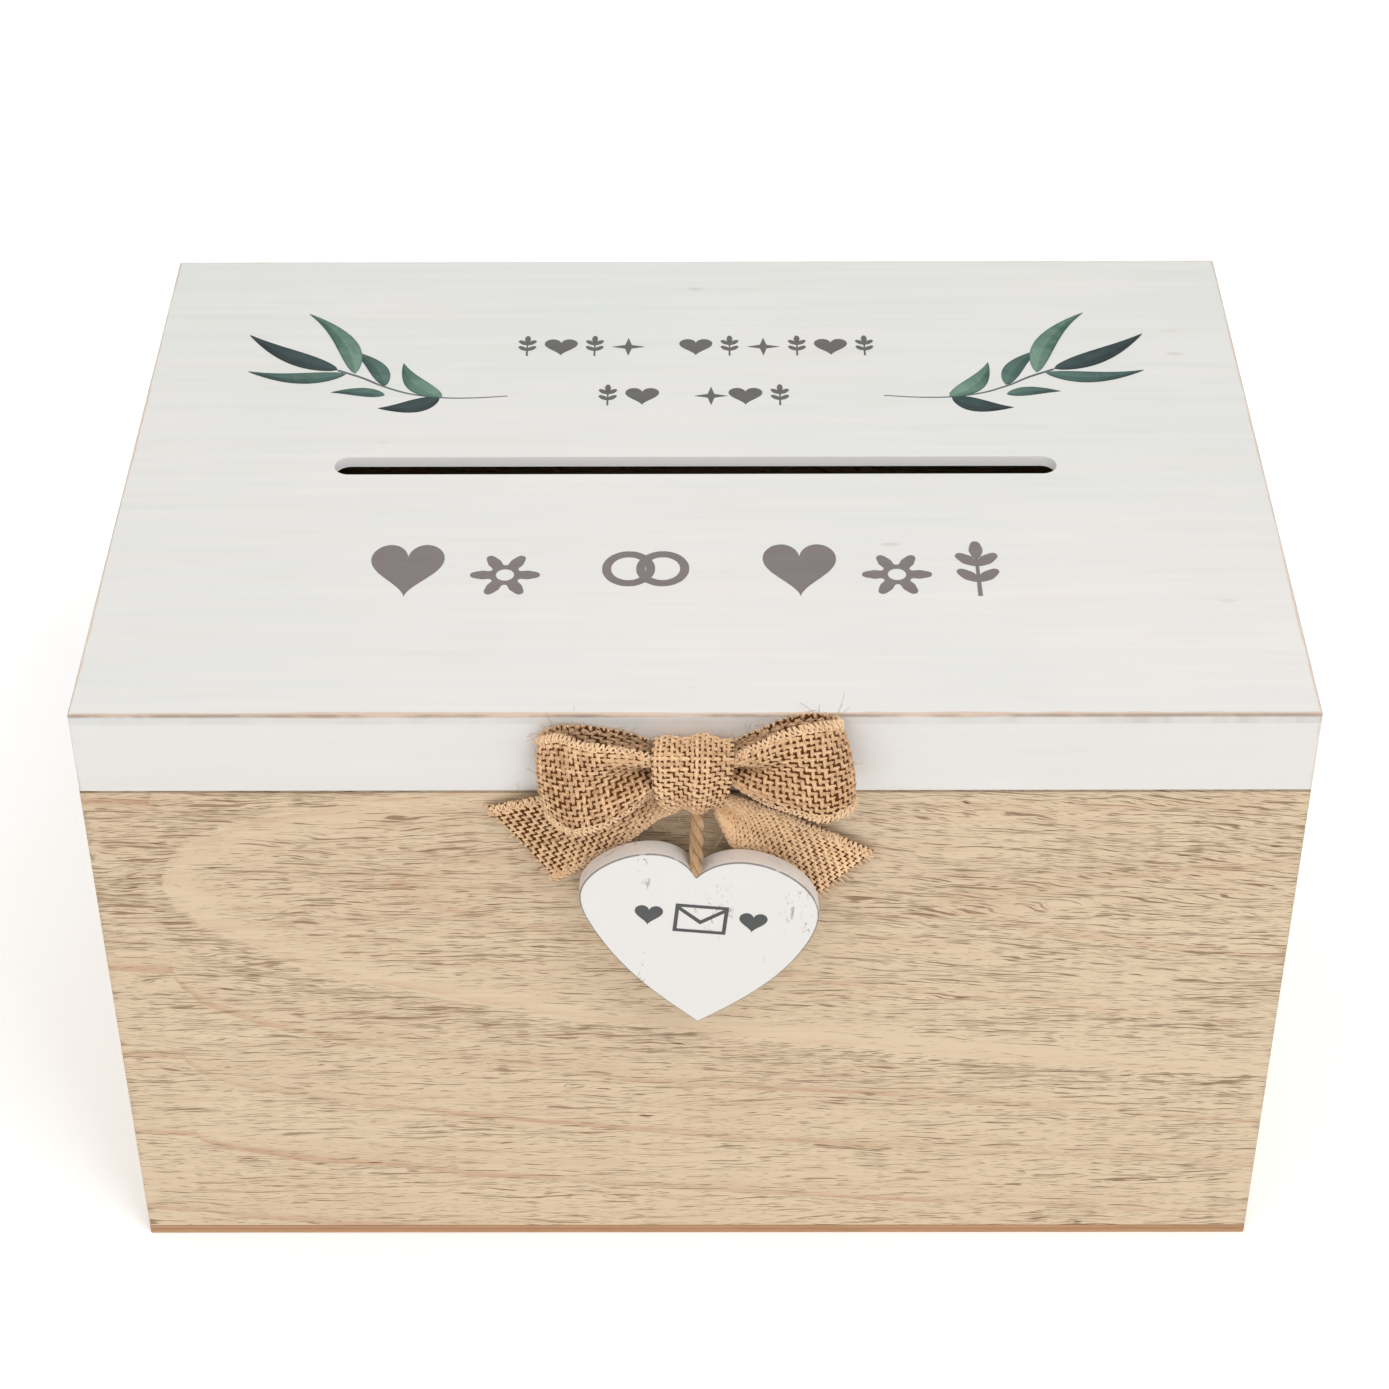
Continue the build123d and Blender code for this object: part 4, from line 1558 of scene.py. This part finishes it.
@dataclass
class SprigPrint:
    """A pair of printed leafy sprigs, mirrored left and right of the greeting.

    Attributes:
        inner: The stem's inner end, from the lid's middle.
    """

    inner: tuple[float, float] = (-51.3 * MM, 33.6 * MM)
    stencil: Stencil = field(default_factory=Stencil)

    def stem(self) -> list[tuple[float, float]]:
        """Points of the stem from its inner end outwards."""
        return [(0, 0), (-9, -0.9), (-18, -0.8), (-27, 1.2), (-34.5, 5.0), (-40.5, 9.2), (-47.5, 13.0)]

    def leaves(self) -> list[Leaf]:
        """The leaves, from the inner end outwards."""
        return [
            Leaf((-18.5, -1.2), (-35.0, -6.0), 5.6, 0.10, Wash.DARK),
            Leaf((-18.0, -0.6), (-29.6, 16.6), 5.4, 0.12, Wash.LIGHT),
            Leaf((-33.6, 0.6), (-48.4, 1.9), 3.6, -0.06, Wash.MIDDLE),
            Leaf((-33.8, 5.2), (-44.6, 23.0), 4.6, -0.10, Wash.MIDDLE),
            Leaf((-42.6, 11.4), (-58.2, 42.4), 5.4, -0.10, Wash.LIGHT),
            Leaf((-47.6, 13.2), (-73.8, 31.2), 5.6, 0.06, Wash.DARK),
            Leaf((-45.2, 11.0), (-72.2, 12.4), 4.6, 0.10, Wash.MIDDLE),
        ]

    def leaf_piece(self, leaf: Leaf, side: int, level: int) -> Piece:
        """Shape one leaf, at its own level of ink, from a grid whose columns narrow to both ends."""
        deselect()
        bpy.ops.mesh.primitive_grid_add(x_subdivisions=24, y_subdivisions=8, size=1)
        piece = bpy.context.object
        root = Vector(leaf.root) * MM
        run = Vector(leaf.tip) * MM - root
        across = Vector((-run.y, run.x)).normalized()
        for vertex in piece.data.vertices:
            along = vertex.co.x + 0.5
            half = leaf.width * MM * 1.02 * math.sin(math.pi * along**0.85) ** 0.8 * (1.05 - 0.55 * along)
            bow = 4 * leaf.curl * run.length * along * (1 - along)
            spot = root + run * along + across * (bow + vertex.co.y * half * 1.35)
            vertex.co = ((spot.x + self.inner[0]) * side, spot.y + self.inner[1], 0)
        bpy.ops.object.mode_set(mode="EDIT")
        bpy.ops.mesh.select_all(action="SELECT")
        bpy.ops.mesh.remove_doubles(threshold=self.stencil.weld)
        bpy.ops.mesh.normals_make_consistent(inside=False)
        bpy.ops.object.mode_set(mode="OBJECT")
        self.stencil.lift(piece, level)
        return piece

    def stem_piece(self, side: int) -> Piece:
        """Make the thin stem as a narrow band that tapers inwards."""
        line = curve_through(np.array(self.stem(), float) * MM, 40)
        heading = unit(np.gradient(line, axis=0))
        normal = np.stack([-heading[:, 1], heading[:, 0]], 1)
        half = np.linspace(0.16, 0.42, 40)[:, None] * MM
        ring = np.vstack([line + normal * half, (line - normal * half)[::-1]])
        points = [((x + self.inner[0]) * side, y + self.inner[1]) for x, y in ring]
        piece = self.stencil.outline(points, smooth=False)
        self.stencil.lift(piece)
        return piece

    def build(self) -> None:
        """Print both sprigs."""
        washes = {
            Wash.DARK: LeafInk("leaf_dark", srgb(20, 30, 30), srgb(52, 72, 72), 0.35).build(),
            Wash.MIDDLE: LeafInk("leaf_middle", srgb(38, 62, 58), srgb(84, 114, 104), 0.45).build(),
            Wash.LIGHT: LeafInk("leaf_light", srgb(50, 84, 74), srgb(114, 144, 128), 0.5).build(),
        }
        stem_ink = Ink("stem_ink", srgb(70, 78, 82), srgb(120, 128, 130)).build()
        for side, label in ((1, "left"), (-1, "right")):
            for wash in Wash:
                parts = [self.leaf_piece(leaf, side, level) for level, leaf in enumerate(self.leaves(), 1)
                         if leaf.wash is wash]
                self._lay(join(f"sprig_{label}_{wash.value}_leaves", parts), washes[wash])
            self._lay(join(f"sprig_{label}_stem", [self.stem_piece(side)]), stem_ink)

    def _lay(self, piece: Piece, material: Material) -> None:
        """Lay a finished part on the lid."""
        piece.location = (0, 0, LID_HIGH.z)
        settle(piece)
        ride(piece, Body.LID, material)


# ---- studio ---------------------------------------------------------------------------------
@dataclass(frozen=True)
class Lamp:
    """One soft square light: its name, place and side in metres, and power in watts."""

    name: str
    place: tuple[float, float, float]
    size: float
    power: float


LAMPS = (
    Lamp("key_light", (0.5, -0.7, 1.4), 0.7, 9.0),
    Lamp("fill_light", (-0.9, -0.9, 1.1), 1.2, 4.2),
    Lamp("back_light", (-0.2, 1.2, 1.2), 1.2, 5.0),
)


@dataclass
class StudioSet:
    """Camera, lights and floor."""

    camera_place: tuple[float, float, float] = (0.0030, -0.6945, 0.6573)
    pitch: float = math.radians(90 - 38.49)
    yaw: float = math.radians(0.29)
    roll: float = math.radians(-0.26)
    lens: float = 82.2
    middle: tuple[float, float, float] = (0, 0, 0.1)
    sky_strength: float = 0.62

    def build(self) -> None:
        """Set up the studio."""
        self.camera()
        self.floor()
        for lamp in LAMPS:
            self.light(lamp)
        world = bpy.data.worlds.new("studio")
        bpy.context.scene.world = world
        world.use_nodes = True
        sky = world.node_tree.nodes["Background"]
        sky.inputs["Color"].default_value = (1.0, 1.0, 1.0, 1.0)
        sky.inputs["Strength"].default_value = self.sky_strength
        bpy.context.scene.view_settings.view_transform = "Standard"
        bpy.context.scene.view_settings.look = "None"

    def camera(self) -> None:
        """Place the camera."""
        data = bpy.data.cameras.new("camera")
        data.lens = self.lens
        data.clip_end = 50
        camera = bpy.data.objects.new("camera", data)
        turn = Matrix.Rotation(self.yaw, 4, "Z") @ Matrix.Rotation(self.pitch, 4, "X")
        turn = turn @ Matrix.Rotation(self.roll, 4, "Z")
        camera.matrix_world = Matrix.Translation(Vector(self.camera_place)) @ turn
        bpy.context.scene.collection.objects.link(camera)
        bpy.context.scene.camera = camera

    def light(self, lamp: Lamp) -> None:
        """Add a soft square light that points at the studio's middle."""
        data = bpy.data.lights.new(lamp.name, "AREA")
        data.size = lamp.size
        data.energy = lamp.power
        light = bpy.data.objects.new(lamp.name, data)
        light.location = lamp.place
        light.rotation_euler = (Vector(self.middle) - Vector(lamp.place)).to_track_quat("-Z", "Y").to_euler()
        bpy.context.scene.collection.objects.link(light)

    def floor(self) -> None:
        """Lay the floor."""
        deselect()
        bpy.ops.mesh.primitive_plane_add(size=14, location=(0, 0, -0.0001))
        floor = bpy.context.object
        floor.name = "studio_floor"
        dress(floor, Studio().build())


def main() -> None:
    """Build everything around the frame, in order."""
    logging.basicConfig(level=logging.INFO, format="%(name)s: %(message)s")
    StudioSet().build()
    Twine().build()
    Bow().build()
    BoxWork().dress()
    LidPrint().build()
    HeartPrint().build()
    SprigPrint().build()


if __name__ == "__main__":
    main()
